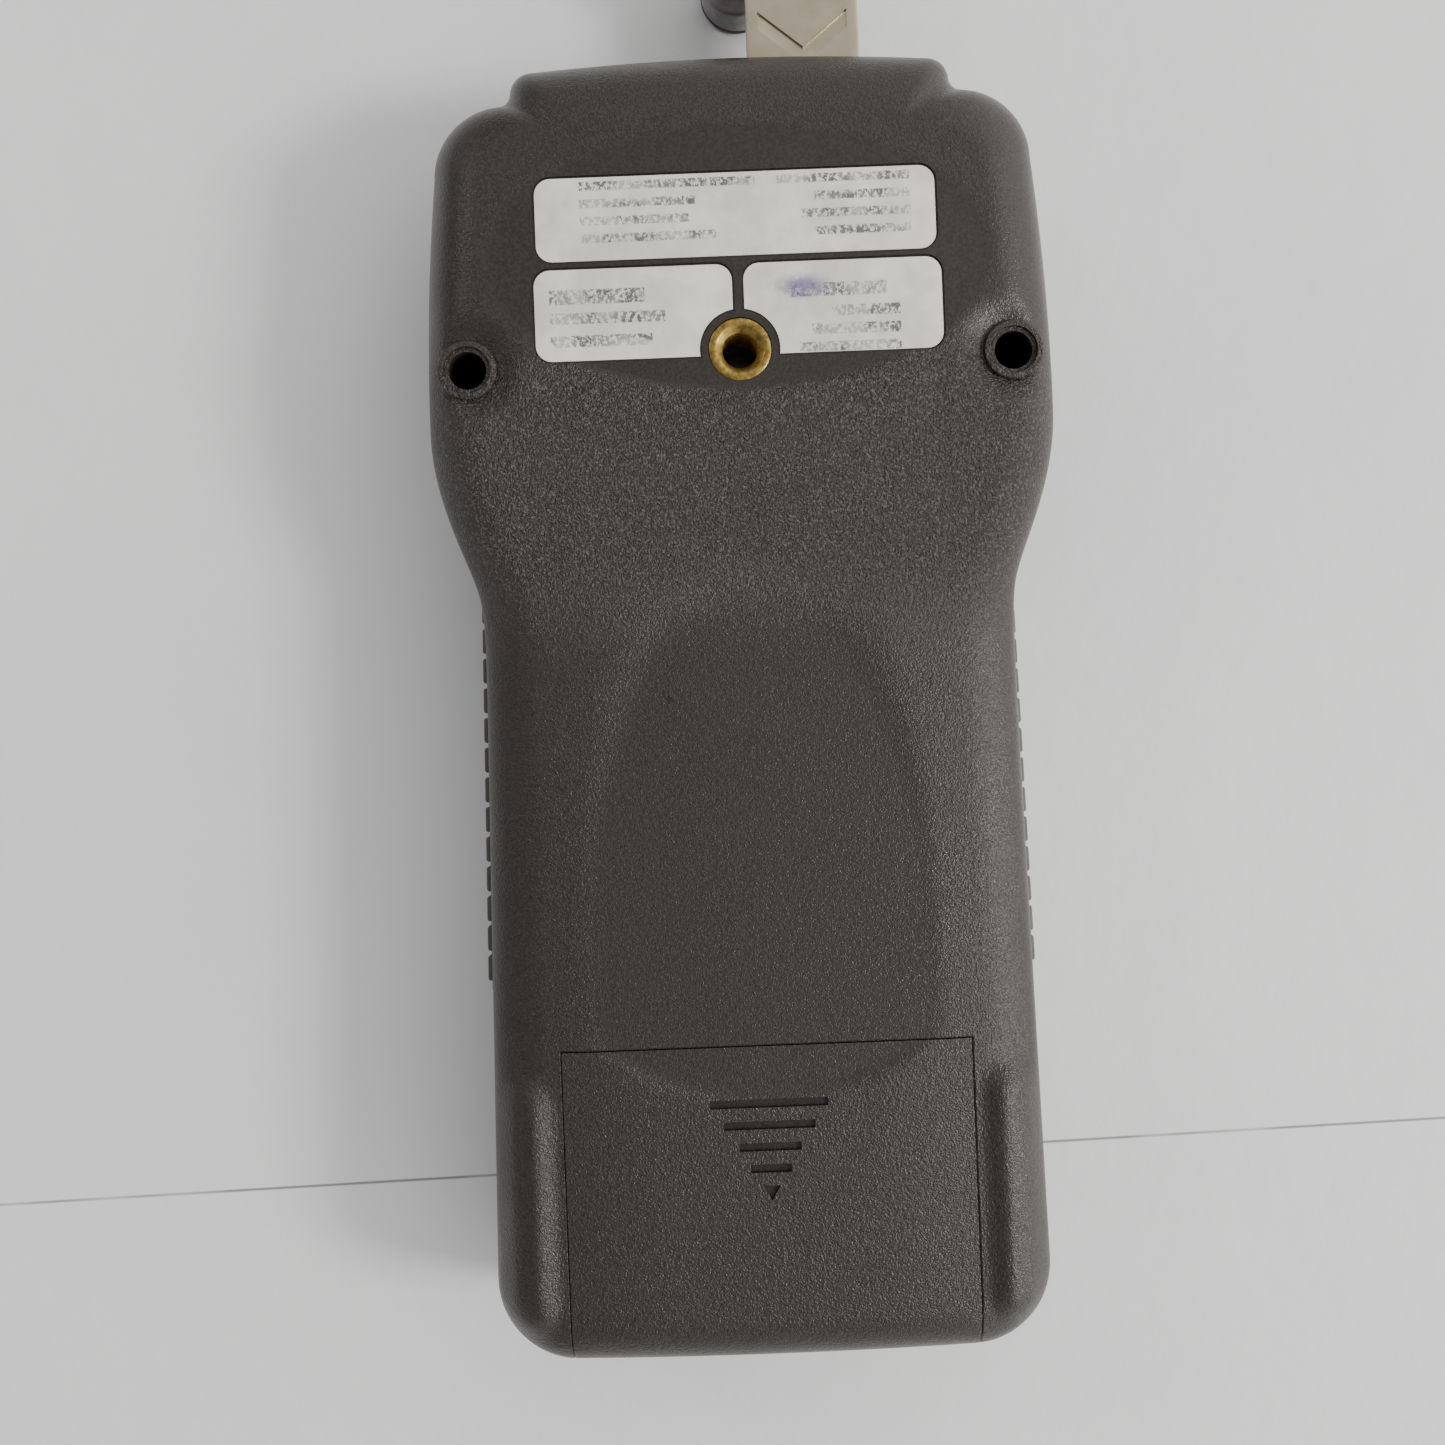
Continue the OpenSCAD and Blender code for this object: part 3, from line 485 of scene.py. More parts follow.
def inner_back(name):
    """The inside of the back, a wall's thickness in from the outside."""
    t0 = WALL / SIDE_INSET
    rise = BACK_ROUND - WALL
    rings = [ring_at(t0, lambda x, y: FRONT_H - 1)]
    for i in range(9):
        a = math.pi / 2 * i / 8
        s = math.sin(a)
        rings.append(ring_at(t0 + (1 - t0) * (1 - math.cos(a)),
                             lambda x, y, s=s: SPRING_Z + s * (rise - SADDLE)))
    return stack(name, rings)


def front_form(name, skin):
    """The closed form of the front from the display face up to the joint, or where skin is set, that
    of its inside."""
    t0 = WALL / SIDE_INSET if skin else 0
    t1 = FRONT_SHARE + (0.08 if skin else 0)
    fall = FRONT_ROUND - (WALL if skin else 0)
    steps = 14
    rings = []
    for i in range(steps, -1, -1):
        a = math.pi / 2 * i / steps
        rings.append(ring_at(t0 + (t1 - t0) * (1 - math.cos(a)),
                             lambda x, y, s=math.sin(a): FRONT_ROUND - fall * s))
    if skin:
        rings.append(ring_at(t0, lambda x, y: FRONT_H + 1))
    else:
        rings.append(ring_at(0, lambda x, y: FRONT_H - LIP))
        rings.append(ring_at(LIP / SIDE_INSET, lambda x, y: FRONT_H))
    return stack(name, rings)


def door_curve(depth, steps=24):
    """Side view of the door's outside or of a line that runs depth inside it."""
    turn = [math.pi / 2 * i / steps for i in range(steps + 1)]
    return [(BUTT_Y + depth + (BUTT_INSET - depth) * (1 - math.cos(a)),
             SPRING_Z + (HANDLE_H - SPRING_Z - depth) * math.sin(a)) for a in turn]


# ---- Materials ----


def put(tree, kind, inputs=None, **attributes):
    """A shader node; an input is a value or another node's output."""
    node = tree.nodes.new(kind)
    for key, value in attributes.items():
        setattr(node, key, value)
    for key, value in (inputs or {}).items():
        if isinstance(value, bpy.types.NodeSocket):
            tree.links.new(value, node.inputs[key])
        else:
            node.inputs[key].default_value = value
    return node


def calc(tree, operation, *values):
    return put(tree, "ShaderNodeMath", dict(enumerate(values)), operation=operation).outputs[0]


def product(tree, first, *others):
    for other in others:
        first = calc(tree, "MULTIPLY", first, other)
    return first


def line(tree, value, slope, base):
    """slope * value + base"""
    return calc(tree, "MULTIPLY_ADD", value, slope, base)


def ramp(tree, value, x0, x1, y0=0.0, y1=1.0):
    """A smooth step from y0 at x0 to y1 at x1."""
    inputs = {"Value": value, "From Min": x0, "From Max": x1, "To Min": y0, "To Max": y1}
    return put(tree, "ShaderNodeMapRange", inputs, interpolation_type="SMOOTHSTEP").outputs[0]


def within(tree, value, x0, x1, soft):
    """1 between x0 and x1 and 0 beyond, with edges that reach soft to either side."""
    rise = ramp(tree, value, x0 - soft, x0 + soft)
    return product(tree, rise, ramp(tree, value, x1 - soft, x1 + soft, 1.0, 0.0))


def noise(tree, at, size_mm, detail=2.0, rough=0.5):
    return put(tree, "ShaderNodeTexNoise", {"Vector": at, "Scale": 1 / (size_mm * MM), "Detail": detail,
                                           "Roughness": rough}).outputs["Fac"]


def mix(tree, share, a, b):
    """A colour between a and b."""
    node = put(tree, "ShaderNodeMix", data_type="RGBA")
    for index, value in ((0, share), (6, a), (7, b)):
        if isinstance(value, bpy.types.NodeSocket):
            tree.links.new(value, node.inputs[index])
        else:
            node.inputs[index].default_value = value if index == 0 else (*value, 1.0)
    return node.outputs[2]


def start(name, colour, rough, metal=0.0, specular=0.5):
    """A new material with uniform values, and what's needed to add to it."""
    mat = bpy.data.materials.new(name)
    mat.use_nodes = True
    mat.diffuse_color = (*colour, 1.0)
    tree = mat.node_tree
    shader = tree.nodes["Principled BSDF"]
    shader.inputs["Base Color"].default_value = (*colour, 1.0)
    shader.inputs["Roughness"].default_value = rough
    shader.inputs["Metallic"].default_value = metal
    shader.inputs["Specular IOR Level"].default_value = specular
    at = put(tree, "ShaderNodeTexCoord").outputs["Object"]
    return mat, tree, shader, at


def relief(tree, shader, height, depth_mm):
    """Fine bumps as deep as depth_mm where height is 1."""
    made = put(tree, "ShaderNodeBump", {"Height": height, "Distance": depth_mm * MM, "Strength": 1.0})
    tree.links.new(made.outputs["Normal"], shader.inputs["Normal"])


def worn(name, colour, rough, metal=0.0, specular=0.5, patch_mm=9.0, change=0.12, grain_mm=0.0,
         grain_deep=0.0):
    """A finish whose shade and gloss change a little from place to place, with an even fine grain."""
    mat, tree, shader, at = start(name, colour, rough, metal, specular)
    spread = noise(tree, at, patch_mm, 4.0, 0.6)
    darker = tuple(c * (1 - change) for c in colour)
    lighter = tuple(min(c * (1 + change), 1.0) for c in colour)
    tree.links.new(mix(tree, ramp(tree, spread, 0.3, 0.7), darker, lighter), shader.inputs["Base Color"])
    gloss = ramp(tree, spread, 0.25, 0.75, rough + 0.06, max(rough - 0.06, 0.03))
    tree.links.new(gloss, shader.inputs["Roughness"])
    if grain_mm:
        relief(tree, shader, noise(tree, at, grain_mm, 1.0), grain_deep)
    return mat


def case_plane(tree, at):
    """Millimetres about the middle of the case: across, along and up."""
    parts = put(tree, "ShaderNodeSeparateXYZ", {"Vector": at})
    x, y, z = (parts.outputs[axis] for axis in "XYZ")
    return product(tree, x, 1000.0), line(tree, y, 1000.0, -CASE_SHIFT), product(tree, z, 1000.0)


def distance(tree, x, y, cx, cy, rx=1.0, ry=1.0):
    """Distance from a centre, in shares of the radii rx and ry of an oval."""
    dx = calc(tree, "DIVIDE", calc(tree, "SUBTRACT", x, cx), rx)
    dy = calc(tree, "DIVIDE", calc(tree, "SUBTRACT", y, cy), ry)
    return calc(tree, "SQRT", calc(tree, "ADD", product(tree, dx, dx), product(tree, dy, dy)))


SHELL_DARK, SHELL_LIGHT = (0.0115, 0.0095, 0.0075), (0.034, 0.0285, 0.0235)
# The first colour on the next line is a painted highlight for glints on the grain; the second is painted
# shade for the screw wells and groove floors.
SHELL_PAINTED_GLINT, SHELL_PAINTED_SHADE = (0.100, 0.090, 0.080), (0.004, 0.0035, 0.003)
SHELL_ROUGH, SHELL_GLOSS, GRAIN_DEEP = 0.30, 0.42, 0.30
# Sizes in millimetres of the coarse and fine grain, the lighter flecks that carry painted glints, the
# painted glint spots and the tone patches.
COARSE_MM, FINE_MM, FLECK_AND_GLINT_MM, PAINTED_GLINT_MM, PATCH_MM = 0.55, 0.24, 0.42, 0.36, 22.0
SPECKS = ((26.5, 2.7, 0.62), (-12.5, 1.3, 0.6), (-13.4, 2.4, 0.3))


def palm_share(tree, x, y):
    """1 in the flat that is cut for the palm."""
    top = ramp(tree, distance(tree, x, y, 0.0, PALM_MID, PALM_HW, PALM_RISE), 0.90, 1.06, 1.0, 0.0)
    end = ramp(tree, distance(tree, x, y, 0.0, PALM_ARC_Y), PALM_ARC_R - 0.8, PALM_ARC_R + 0.8, 1.0, 0.0)
    above = ramp(tree, y, PALM_ARC_Y - 1, PALM_ARC_Y + 1)
    return product(tree, top, calc(tree, "MAXIMUM", end, above))


def bar_share(tree, x, y, z):
    """1 on the floors of the door's grooves, which get less grain and a little painted shade."""
    middle_y, reach, start_y = -65.0, 13.0, -57.0
    below = ramp(tree, z, HANDLE_H - 0.5, HANDLE_H - 0.46, 1.0, 0.0)
    above = ramp(tree, z, HANDLE_H - 0.7, HANDLE_H - 0.65)
    near = ramp(tree, distance(tree, x, y, 0.0, middle_y), reach, reach + 0.5, 1.0, 0.0)
    return product(tree, below, above, ramp(tree, y, start_y, start_y - 0.2), near)


def pit_share(tree, x, y, z):
    """1 down in the screw wells, which are painted with shade."""
    off_axis = distance(tree, calc(tree, "ABSOLUTE", x), y, WELL_X, WELL_Y)
    inside = ramp(tree, off_axis, WELL_R + 0.1, WELL_R + 0.2, 1.0, 0.0)
    deep = ramp(tree, z, WELL_RIM - 3.0, WELL_RIM - 1.0, 1.0, 0.0)
    return product(tree, inside, deep, ramp(tree, z, FRONT_H, FRONT_H + 0.5))


def shell_finish():
    """Dark warm grey moulded plastic. Its spark-eroded grain is deepest on the neck, shallow in the
    palm's flat, and almost stops at the oval flat around the labels. Its colour also holds painted glints,
    strongest on the neck, and painted shade down in the screw wells and on the groove floors."""
    mat, tree, shader, at = start("shell_plastic", (0.036, 0.031, 0.027), 0.42, specular=SHELL_GLOSS)
    x, y, z = case_plane(tree, at)
    off_flat = ramp(tree, distance(tree, x, y, 0.0, FLAT_Y, FLAT_RX, FLAT_RY), 0.96, 1.04)
    head = ramp(tree, y, 50.0, 60.0, 1.0, 0.5)
    neck = product(tree, ramp(tree, y, 6.0, 26.0), ramp(tree, y, 48.0, 56.0, 1.0, 0.0))
    bars = bar_share(tree, x, y, z)
    amount = product(tree, line(tree, neck, 1.3, 1.0), line(tree, palm_share(tree, x, y), -0.4, 1.0),
                     line(tree, off_flat, 0.9, 0.1), head, line(tree, bars, -0.8, 1.0))
    half_fine = product(tree, noise(tree, at, FINE_MM, 1.0), 0.5)
    grain = line(tree, noise(tree, at, COARSE_MM, 2.0, 0.6), 0.5, half_fine)
    relief(tree, shader, product(tree, grain, amount), GRAIN_DEEP)

    patch = noise(tree, at, PATCH_MM, 4.0, 0.6)
    # Lighter flecks: partly the grain's own random tone, partly painted glints for the sparkle of the
    # grain.
    fleck_and_glint = ramp(tree, noise(tree, at, FLECK_AND_GLINT_MM, 2.0, 0.7), 0.35, 0.65)
    colour = mix(tree, line(tree, fleck_and_glint, 0.6, product(tree, patch, 0.3)), SHELL_DARK, SHELL_LIGHT)
    # Painted glints: light spots on the grain, strongest on the neck and left off the oval flat.
    painted_glints = ramp(tree, noise(tree, at, PAINTED_GLINT_MM, 1.0), 0.52, 0.68)
    colour = mix(tree, product(tree, painted_glints, line(tree, neck, 0.6, 0.15), off_flat), colour, SHELL_PAINTED_GLINT)
    for cx, cy, r in SPECKS:
        speck = ramp(tree, distance(tree, x, y, cx, cy), r * 0.7, r * 1.25, 1.0, 0.0)
        colour = mix(tree, product(tree, speck, 0.85), colour, (0.006, 0.006, 0.006))
    # Painted shade: near black down in the screw wells and a little on the groove floors, with less
    # specular there too.
    painted_shade = calc(tree, "MAXIMUM", pit_share(tree, x, y, z), product(tree, bars, 0.3))
    tree.links.new(mix(tree, painted_shade, colour, SHELL_PAINTED_SHADE), shader.inputs["Base Color"])
    gloss = line(tree, painted_shade, -0.85 * SHELL_GLOSS, SHELL_GLOSS)
    tree.links.new(gloss, shader.inputs["Specular IOR Level"])
    rough = ramp(tree, patch, 0.3, 0.7, SHELL_ROUGH + 0.04, SHELL_ROUGH - 0.04)
    tree.links.new(rough, shader.inputs["Roughness"])
    return mat


PAPER, PAPER_DARK, PAPER_LIGHT = (0.70, 0.685, 0.62), (0.60, 0.585, 0.515), (0.75, 0.735, 0.67)
PRINT, STAMP = (0.11, 0.105, 0.10), (0.15, 0.11, 0.27)
STAMP_RX, STAMP_RY = 5.0, 2.2


def label_finish(name, rows, stamp=None):
    """Off-white film with faint, wordless rows of worn print. Each row runs from x0 to x1 about a
    height, and reaches half above and below it."""
    mat, tree, shader, at = start(name, PAPER, 0.42)
    x, y, z = case_plane(tree, at)
    stain = noise(tree, at, 7.0, 5.0, 0.65)
    colour = mix(tree, ramp(tree, stain, 0.35, 0.7), PAPER_DARK, PAPER_LIGHT)
    cells = put(tree, "ShaderNodeCombineXYZ", {"X": product(tree, x, 1.5), "Y": y}).outputs[0]
    strokes = put(tree, "ShaderNodeTexNoise",
                  {"Vector": cells, "Scale": 1.15, "Detail": 3.0, "Roughness": 0.75}).outputs["Fac"]
    mark = ramp(tree, strokes, 0.46, 0.51)
    wear = ramp(tree, noise(tree, at, 5.0, 3.0, 0.6), 0.40, 0.62)
    for x0, x1, row_y, half in rows:
        band = within(tree, y, row_y - half, row_y + half, 0.1)
        span = within(tree, x, x0 - 0.1, x1 + 0.1, 0.1)
        colour = mix(tree, product(tree, band, span, mark, line(tree, wear, 0.5, 0.5)), colour, PRINT)
    if stamp:
        blot = ramp(tree, distance(tree, x, y, *stamp, STAMP_RX, STAMP_RY), 0.2, 1.15, 1.0, 0.0)
        ink = ramp(tree, noise(tree, at, 1.6, 4.0, 0.7), 0.30, 0.50)
        colour = mix(tree, product(tree, blot, ink, 0.85), colour, STAMP)
    tree.links.new(colour, shader.inputs["Base Color"])
    tree.links.new(ramp(tree, stain, 0.3, 0.7, 0.36, 0.55), shader.inputs["Roughness"])
    relief(tree, shader, noise(tree, at, 1.2, 3.0, 0.6), 0.02)
    return mat


def dress(obj, mat):
    obj.data.materials.clear()
    obj.data.materials.append(mat)


shell_plastic = shell_finish()
grip_rubber = worn("grip_rubber", (0.075, 0.078, 0.068), 0.62, patch_mm=6.0, grain_mm=0.35, grain_deep=0.05)
brass = worn("insert_brass", (0.33, 0.22, 0.062), 0.33, metal=1.0, patch_mm=0.9, change=0.45)
nickel = worn("probe_nickel", (0.42, 0.365, 0.27), 0.36, metal=1.0, patch_mm=5.0, change=0.10,
              grain_mm=0.28, grain_deep=0.012)
puck_metal = worn("puck_metal", (0.25, 0.23, 0.24), 0.42, metal=0.35, patch_mm=3.0, change=0.2)
puck_base_mat = worn("puck_base_plastic", (0.055, 0.016, 0.014), 0.5, patch_mm=2.0, change=0.3)
rivet_steel = worn("spring_steel", (0.52, 0.52, 0.52), 0.3, metal=1.0, patch_mm=2.0)
foam = worn("foam", (0.030, 0.030, 0.032), 0.95, specular=0.1, grain_mm=0.5, grain_deep=0.15)

# ---- Back cover and battery door ----


def well_cutters():
    """The screw wells, with a wider mouth above and a hole for the shank below."""
    cutters = []
    for x in (-WELL_X, WELL_X):
        at = (x, WELL_Y)
        cutters.append(rod("well", at, WELL_R, WELL_FLOOR, WELL_RIM + 3))
        cutters.append(rod("well_mouth", at, WELL_R + 0.7, WELL_RIM - WELL_SINK, WELL_RIM + 2))
        cutters.append(rod("well_shank", at, SCREW_R + SHANK_GAP, FRONT_H - 1, WELL_FLOOR + 1))
    return cutters


def seam_path(side):
    """Points on the back along one side of the door, from its top corner to the butt."""
    x = side * DOOR_HW
    steps = 24
    path = [(x, y, back_top(x, y, 1)) for y in (DOOR_TOP, (DOOR_TOP + BUTT_Y) / 2)]
    for i in range(steps, -1, -1):
        a = math.pi / 2 * i / steps
        y = BUTT_Y + BUTT_INSET * (1 - math.cos(a))
        path.append((x, y + butt_bow(x, y), back_top(x, y, math.sin(a))))
    return path + [(x, BUTT_Y + butt_bow(x, BUTT_Y), FRONT_H - 2)]


def seam_cutters(name):
    """Fine round grooves along the door's edges."""
    r = 0.17
    xs = [-DOOR_HW + 2 * DOOR_HW * i / 60 for i in range(61)]
    path_top = [(x, DOOR_TOP, back_top(x, DOOR_TOP, 1)) for x in xs]
    return [tube(name + "_left", seam_path(-1), r, (1, 0, 0)),
            tube(name + "_right", seam_path(1), r, (1, 0, 0)), tube(name + "_top", path_top, r, (0, 1, 0))]


def bay():
    """The battery bay: a box under the door that hangs from the back."""
    under, butt_wall, wall, step = BAY_FLOOR - BAY_SKIN, 1.6, 2.6, 1.4
    profile = [(BAY_END - butt_wall, under)]
    profile += [(max(y, BAY_END - butt_wall), z) for y, z in door_curve(DOOR_T + DOOR_GAP, 10)]
    profile += [(DOOR_TOP + wall, UNDER_DOOR - DOOR_GAP), (DOOR_TOP + wall, under)]
    body = side_prism("bay", profile, -BAY_X - wall, BAY_X + wall)
    hollow = block("bay_hollow", (-BAY_X, BAY_END, BAY_FLOOR), (BAY_X, DOOR_TOP - step, HANDLE_H + 1))
    ring = [(LEAD_X + x, LEAD_Z + z) for x, z in arc(0, 0, LEAD_HOLE_R, 0, 351, 39)]
    lead_hole = stack("lead_hole", [[(x, y, z) for x, z in ring] for y in (DOOR_TOP - 3, DOOR_TOP + 5)])
    cut(body, hollow, lead_hole)
    for s in (-1, 1):
        place = (s * LOW_SCREW[0], LOW_SCREW[1])
        cut(body, rod("low_hole", place, SCREW_R + SHANK_GAP, BAY_FLOOR - 3, BAY_FLOOR + 3))
    return body


def grip_box(name, side, x0, x1, y0, y1, z0, z1):
    """A block in the frame of one grip, turned with the side of the handle."""
    c, s = math.cos(GRIP_SLOPE), math.sin(GRIP_SLOPE)
    shift = 2 - GRIP_L

    def at(x, y):
        y += shift
        return (side * (WAIST_HW + x * c - y * s), WAIST_Y + x * s + y * c)

    ring = [at(x0, y0), at(x1, y0), at(x1, y1), at(x0, y1)]
    return stack(name, [[(x, y, z) for x, y in ring] for z in (z0, z1)])


def grip_pocket(side):
    """Room for a grip and the gap round it."""
    return grip_box("pocket", side, -GRIP_IN - GRIP_GAP, 5, -GRIP_GAP, GRIP_L + GRIP_GAP,
                    GRIP_Z[0] - GRIP_GAP, GRIP_Z[1] + GRIP_GAP)


def blade_passage():
    """The slot in the collar for the probe."""
    w, t = BLADE_W + 2 * BLADE_GAP, BLADE_T + 2 * BLADE_GAP
    ring = [(x, z) for x, z, _ in rounded_ring(w, t, 0.6, BLADE_X, BLADE_Z, 0)]
    return stack("passage", [[(x, y, z) for x, z in ring] for y in (TOP_Y - 7, TOP_Y + 3)])


outer = outer_back("outer_form")
door = outer.copy()
door.data = outer.data.copy()
door.name = "battery_cover"
bpy.context.scene.collection.objects.link(door)

back = outer
back.name = "back_cover"
cut(back, inner_back("inner_form"))
cut(back, block("door_opening", (-DOOR_HW, BUTT_Y - 2, FRONT_H - 1), (DOOR_HW, DOOR_TOP, CASE_H + 2)))
add(back, bay())
for x in (-WELL_X, WELL_X):
    add(back, rod("boss", (x, WELL_Y), BOSS_R, FRONT_H, WELL_RIM, edge=0.22))
add(back, rod("insert_boss", (0, INSERT_Y), INSERT_R + 2.2, CASE_H - INSERT_L - 3.5, CASE_H - 0.6))
cut(back, *well_cutters())
cut(back, rod("insert_hole", (0, INSERT_Y), INSERT_R, CASE_H - INSERT_L - 1.5, CASE_H + 2))
cut(back, rod("insert_tip", (0, INSERT_Y), BORE_R + 0.3, CASE_H - INSERT_L - 2.5, CASE_H - INSERT_L))

g = 2 * LABEL_GAP
pocket_z = CASE_H - LABEL_SINK
w, l, x, y = TOP_LABEL
cut(back, slab("top_pocket", w + g, l + g, LABEL_R + LABEL_GAP, x, y, pocket_z, CASE_H + 1))
for x in (-LOW_LABEL_X, LOW_LABEL_X):
    pocket = slab("low_pocket", LOW_LABEL_W + g, LOW_LABEL_L + g, LABEL_R + LABEL_GAP, x, LOW_LABEL_Y,
                  pocket_z, CASE_H + 1)
    cut(pocket, rod("ring", (0, INSERT_Y), RING_R, CASE_H - 3, CASE_H + 3))
    cut(back, pocket)
for x in (-TAB_X, TAB_X):
    cut(back, block("tab_pocket", (x - TAB_W / 2 - 0.5, DOOR_TOP - 3, TAB_LOW - 0.9),
                    (x + TAB_W / 2 + 0.5, DOOR_TOP + TAB_L + 1, TAB_TOP + 0.2)))
for side in (-1, 1):
    cut(back, grip_pocket(side))
cut(back, blade_passage())
cut(back, *seam_cutters("seam"))
smooth(back)
dress(back, shell_plastic)
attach(back, "case")
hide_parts("back_shell")

door_cut = block("door_block", (-DOOR_HW + DOOR_GAP, BUTT_Y - 2, FRONT_H + DOOR_GAP),
                 (DOOR_HW - DOOR_GAP, DOOR_TOP - DOOR_GAP, CASE_H + 2))
combine(door, door_cut, "INTERSECT")
door_inside = [(DOOR_TOP + 1, FRONT_H - 1), (DOOR_TOP + 1, UNDER_DOOR), *reversed(door_curve(DOOR_T)),
               (BUTT_Y + DOOR_T, FRONT_H - 1)]
cut(door, side_prism("door_inside", door_inside, -DOOR_HW - 1, DOOR_HW + 1))
for x in (-TAB_X, TAB_X):
    low_corner = (x - TAB_W / 2, DOOR_TOP - 3, TAB_LOW)
    add(door, block("tab", low_corner, (x + TAB_W / 2, DOOR_TOP + TAB_L, TAB_TOP)))
groove_low, groove_high, lean = HANDLE_H - GROOVE_DEEP, CASE_H + 0.5, 0.1
for i, w in enumerate(GROOVE_WS):
    y = GROOVE_Y - i * GROOVE_PITCH
    y0, y1 = y - GROOVE_L / 2, y + GROOVE_L / 2
    low_x, high_x = w / 2 - lean, w / 2 + lean
    ring_low = [(-low_x, y0), (low_x, y0), (low_x, y1 - lean), (-low_x, y1 - lean)]
    ring_high = [(-high_x, y0 - lean), (high_x, y0 - lean), (high_x, y1), (-high_x, y1)]
    rings = [[(a, b, groove_low) for a, b in ring_low], [(a, b, groove_high) for a, b in ring_high]]
    cut(door, stack("groove", rings))
tip_y = GROOVE_Y - len(GROOVE_WS) * GROOVE_PITCH
tip = [(0, tip_y - 1.6), (1.3, tip_y + 0.6), (-1.3, tip_y + 0.6)]
cut(door, stack("groove_tip", [[(x, y, z) for x, y in tip] for z in (groove_low, groove_high)]))
cut(door, *seam_cutters("door_seam"))
smooth(door)
dress(door, shell_plastic)
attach(door, "door")
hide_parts("battery_door")

lo, hi = (Vector(c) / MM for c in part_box("door_pad"))
pad = slab("door_foam", hi.x - lo.x, hi.y - lo.y, 1.0, (lo.x + hi.x) / 2, (lo.y + hi.y) / 2 - CASE_SHIFT,
           lo.z, hi.z, edge=0.15)
smooth(pad)
dress(pad, foam)
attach(pad, "door")
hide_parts("door_pad")

# ---- Front cover ----

front = front_form("front_cover", False)
cut(front, front_form("front_inside", True))
add(front, block("keypad_floor", (-PAD_W / 2 - 2, PAD_Y - PAD_L / 2 - 2, WALL - 0.3),
                 (PAD_W / 2 + 2, PAD_Y + PAD_L / 2 + 2, WALL + PAD_SINK)))
posts = [(s * WELL_X, WELL_Y) for s in (-1, 1)] + [(s * LOW_SCREW[0], LOW_SCREW[1]) for s in (-1, 1)]
for p in posts:
    add(front, rod("post", p, 3.6, WALL - 0.4, FRONT_H))
    cut(front, rod("pilot", p, SCREW_R + 0.05, WALL + 1, FRONT_H + 3))
for x in (-POST_X, POST_X):
    for y in POST_YS:
        add(front, rod("board_post", (x, y), 3.0, WALL - 0.4, 8.5))
        cut(front, rod("board_pilot", (x, y), 1.15, WALL + 0.4, 17))
cut(front, slab("lens_seat", WINDOW_W + 7.4, WINDOW_L + 7.4, 3.2, 0, WINDOW_Y, -1, 1.5))
cut(front, slab("window", WINDOW_W, WINDOW_L, 2, 0, WINDOW_Y, -1, 7))
cut(front, slab("pad_seat", PAD_W, PAD_L, 5, 0, PAD_Y, -1, PAD_SINK))
for x in KEY_XS:
    for y in KEY_YS:
        cut(front, slab("key_hole", KEY_W + 2 * KEY_GAP, KEY_L + 2 * KEY_GAP, 2 + KEY_GAP, x, y, -1, 7))
for side in (-1, 1):
    cut(front, grip_pocket(side))
smooth(front)
dress(front, shell_plastic)
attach(front, "case")
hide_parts("front_shell")

# ---- Grips ----


def rib(side, i):
    """One rubber pad with rounded ends, standing out of the grip."""
    y0 = 1 + i * RIB_PITCH + RIB_GAP / 2
    y1 = y0 + RIB_PITCH - RIB_GAP
    piece = grip_box("rib", side, GRIP_OUT - 0.3, RIB_OUT, y0, y1, GRIP_Z[0] + 1, GRIP_Z[1] - 1)
    round_edges(piece, 0.42)
    return piece


for side, name in ((-1, "left_grip"), (1, "right_grip")):
    base = grip_box("base", side, -GRIP_IN, GRIP_OUT, 0, GRIP_L, *GRIP_Z)
    round_edges(base, 0.3)
    grip = join(name + "_rubber", [base] + [rib(side, i) for i in range(RIB_N)])
    smooth(grip, 40)
    dress(grip, grip_rubber)
    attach(grip, "case")
    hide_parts(name)

# ---- Insert, labels ----


def threaded_insert():
    """A brass insert with a real inside thread, a countersunk mouth and a plain flange."""
    pitch, deep, runout, segments, per_turn = 1.27, 0.5, 0.5, 72, 8
    top, bottom, mouth, seat_gap = CASE_H - 0.2, CASE_H - 0.2 - INSERT_L, 0.95, 0.02
    thread_l = top - mouth - bottom
    rows = int(thread_l / pitch * per_turn)
    rim = [(BORE_R + mouth, top - 0.06), (BORE_R + mouth + 0.12, top), (INSERT_R - 0.25, top),
           (INSERT_R - 0.07, top - 0.1), (INSERT_R - seat_gap, top - 0.3), (INSERT_R - seat_gap, bottom)]
    columns = []
    for s in range(segments):
        bore = []
        for k in range(rows + 1):
            z = bottom + thread_l * k / rows
            turn = (z / pitch - s / segments) % 1.0
            wave = 1 - abs(2 * turn - 1)
            fade = ease((top - mouth - z) / runout) * ease((z - bottom) / runout)
            bore.append((BORE_R + 0.05 + deep * ease(wave) * fade, z))
        columns.append(bore + rim)
    obj = revolve("thread_insert", columns, (0, INSERT_Y))
    smooth(obj, 30)
    return obj


insert = threaded_insert()
dress(insert, brass)
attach(insert, "case")
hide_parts("tripod_insert")

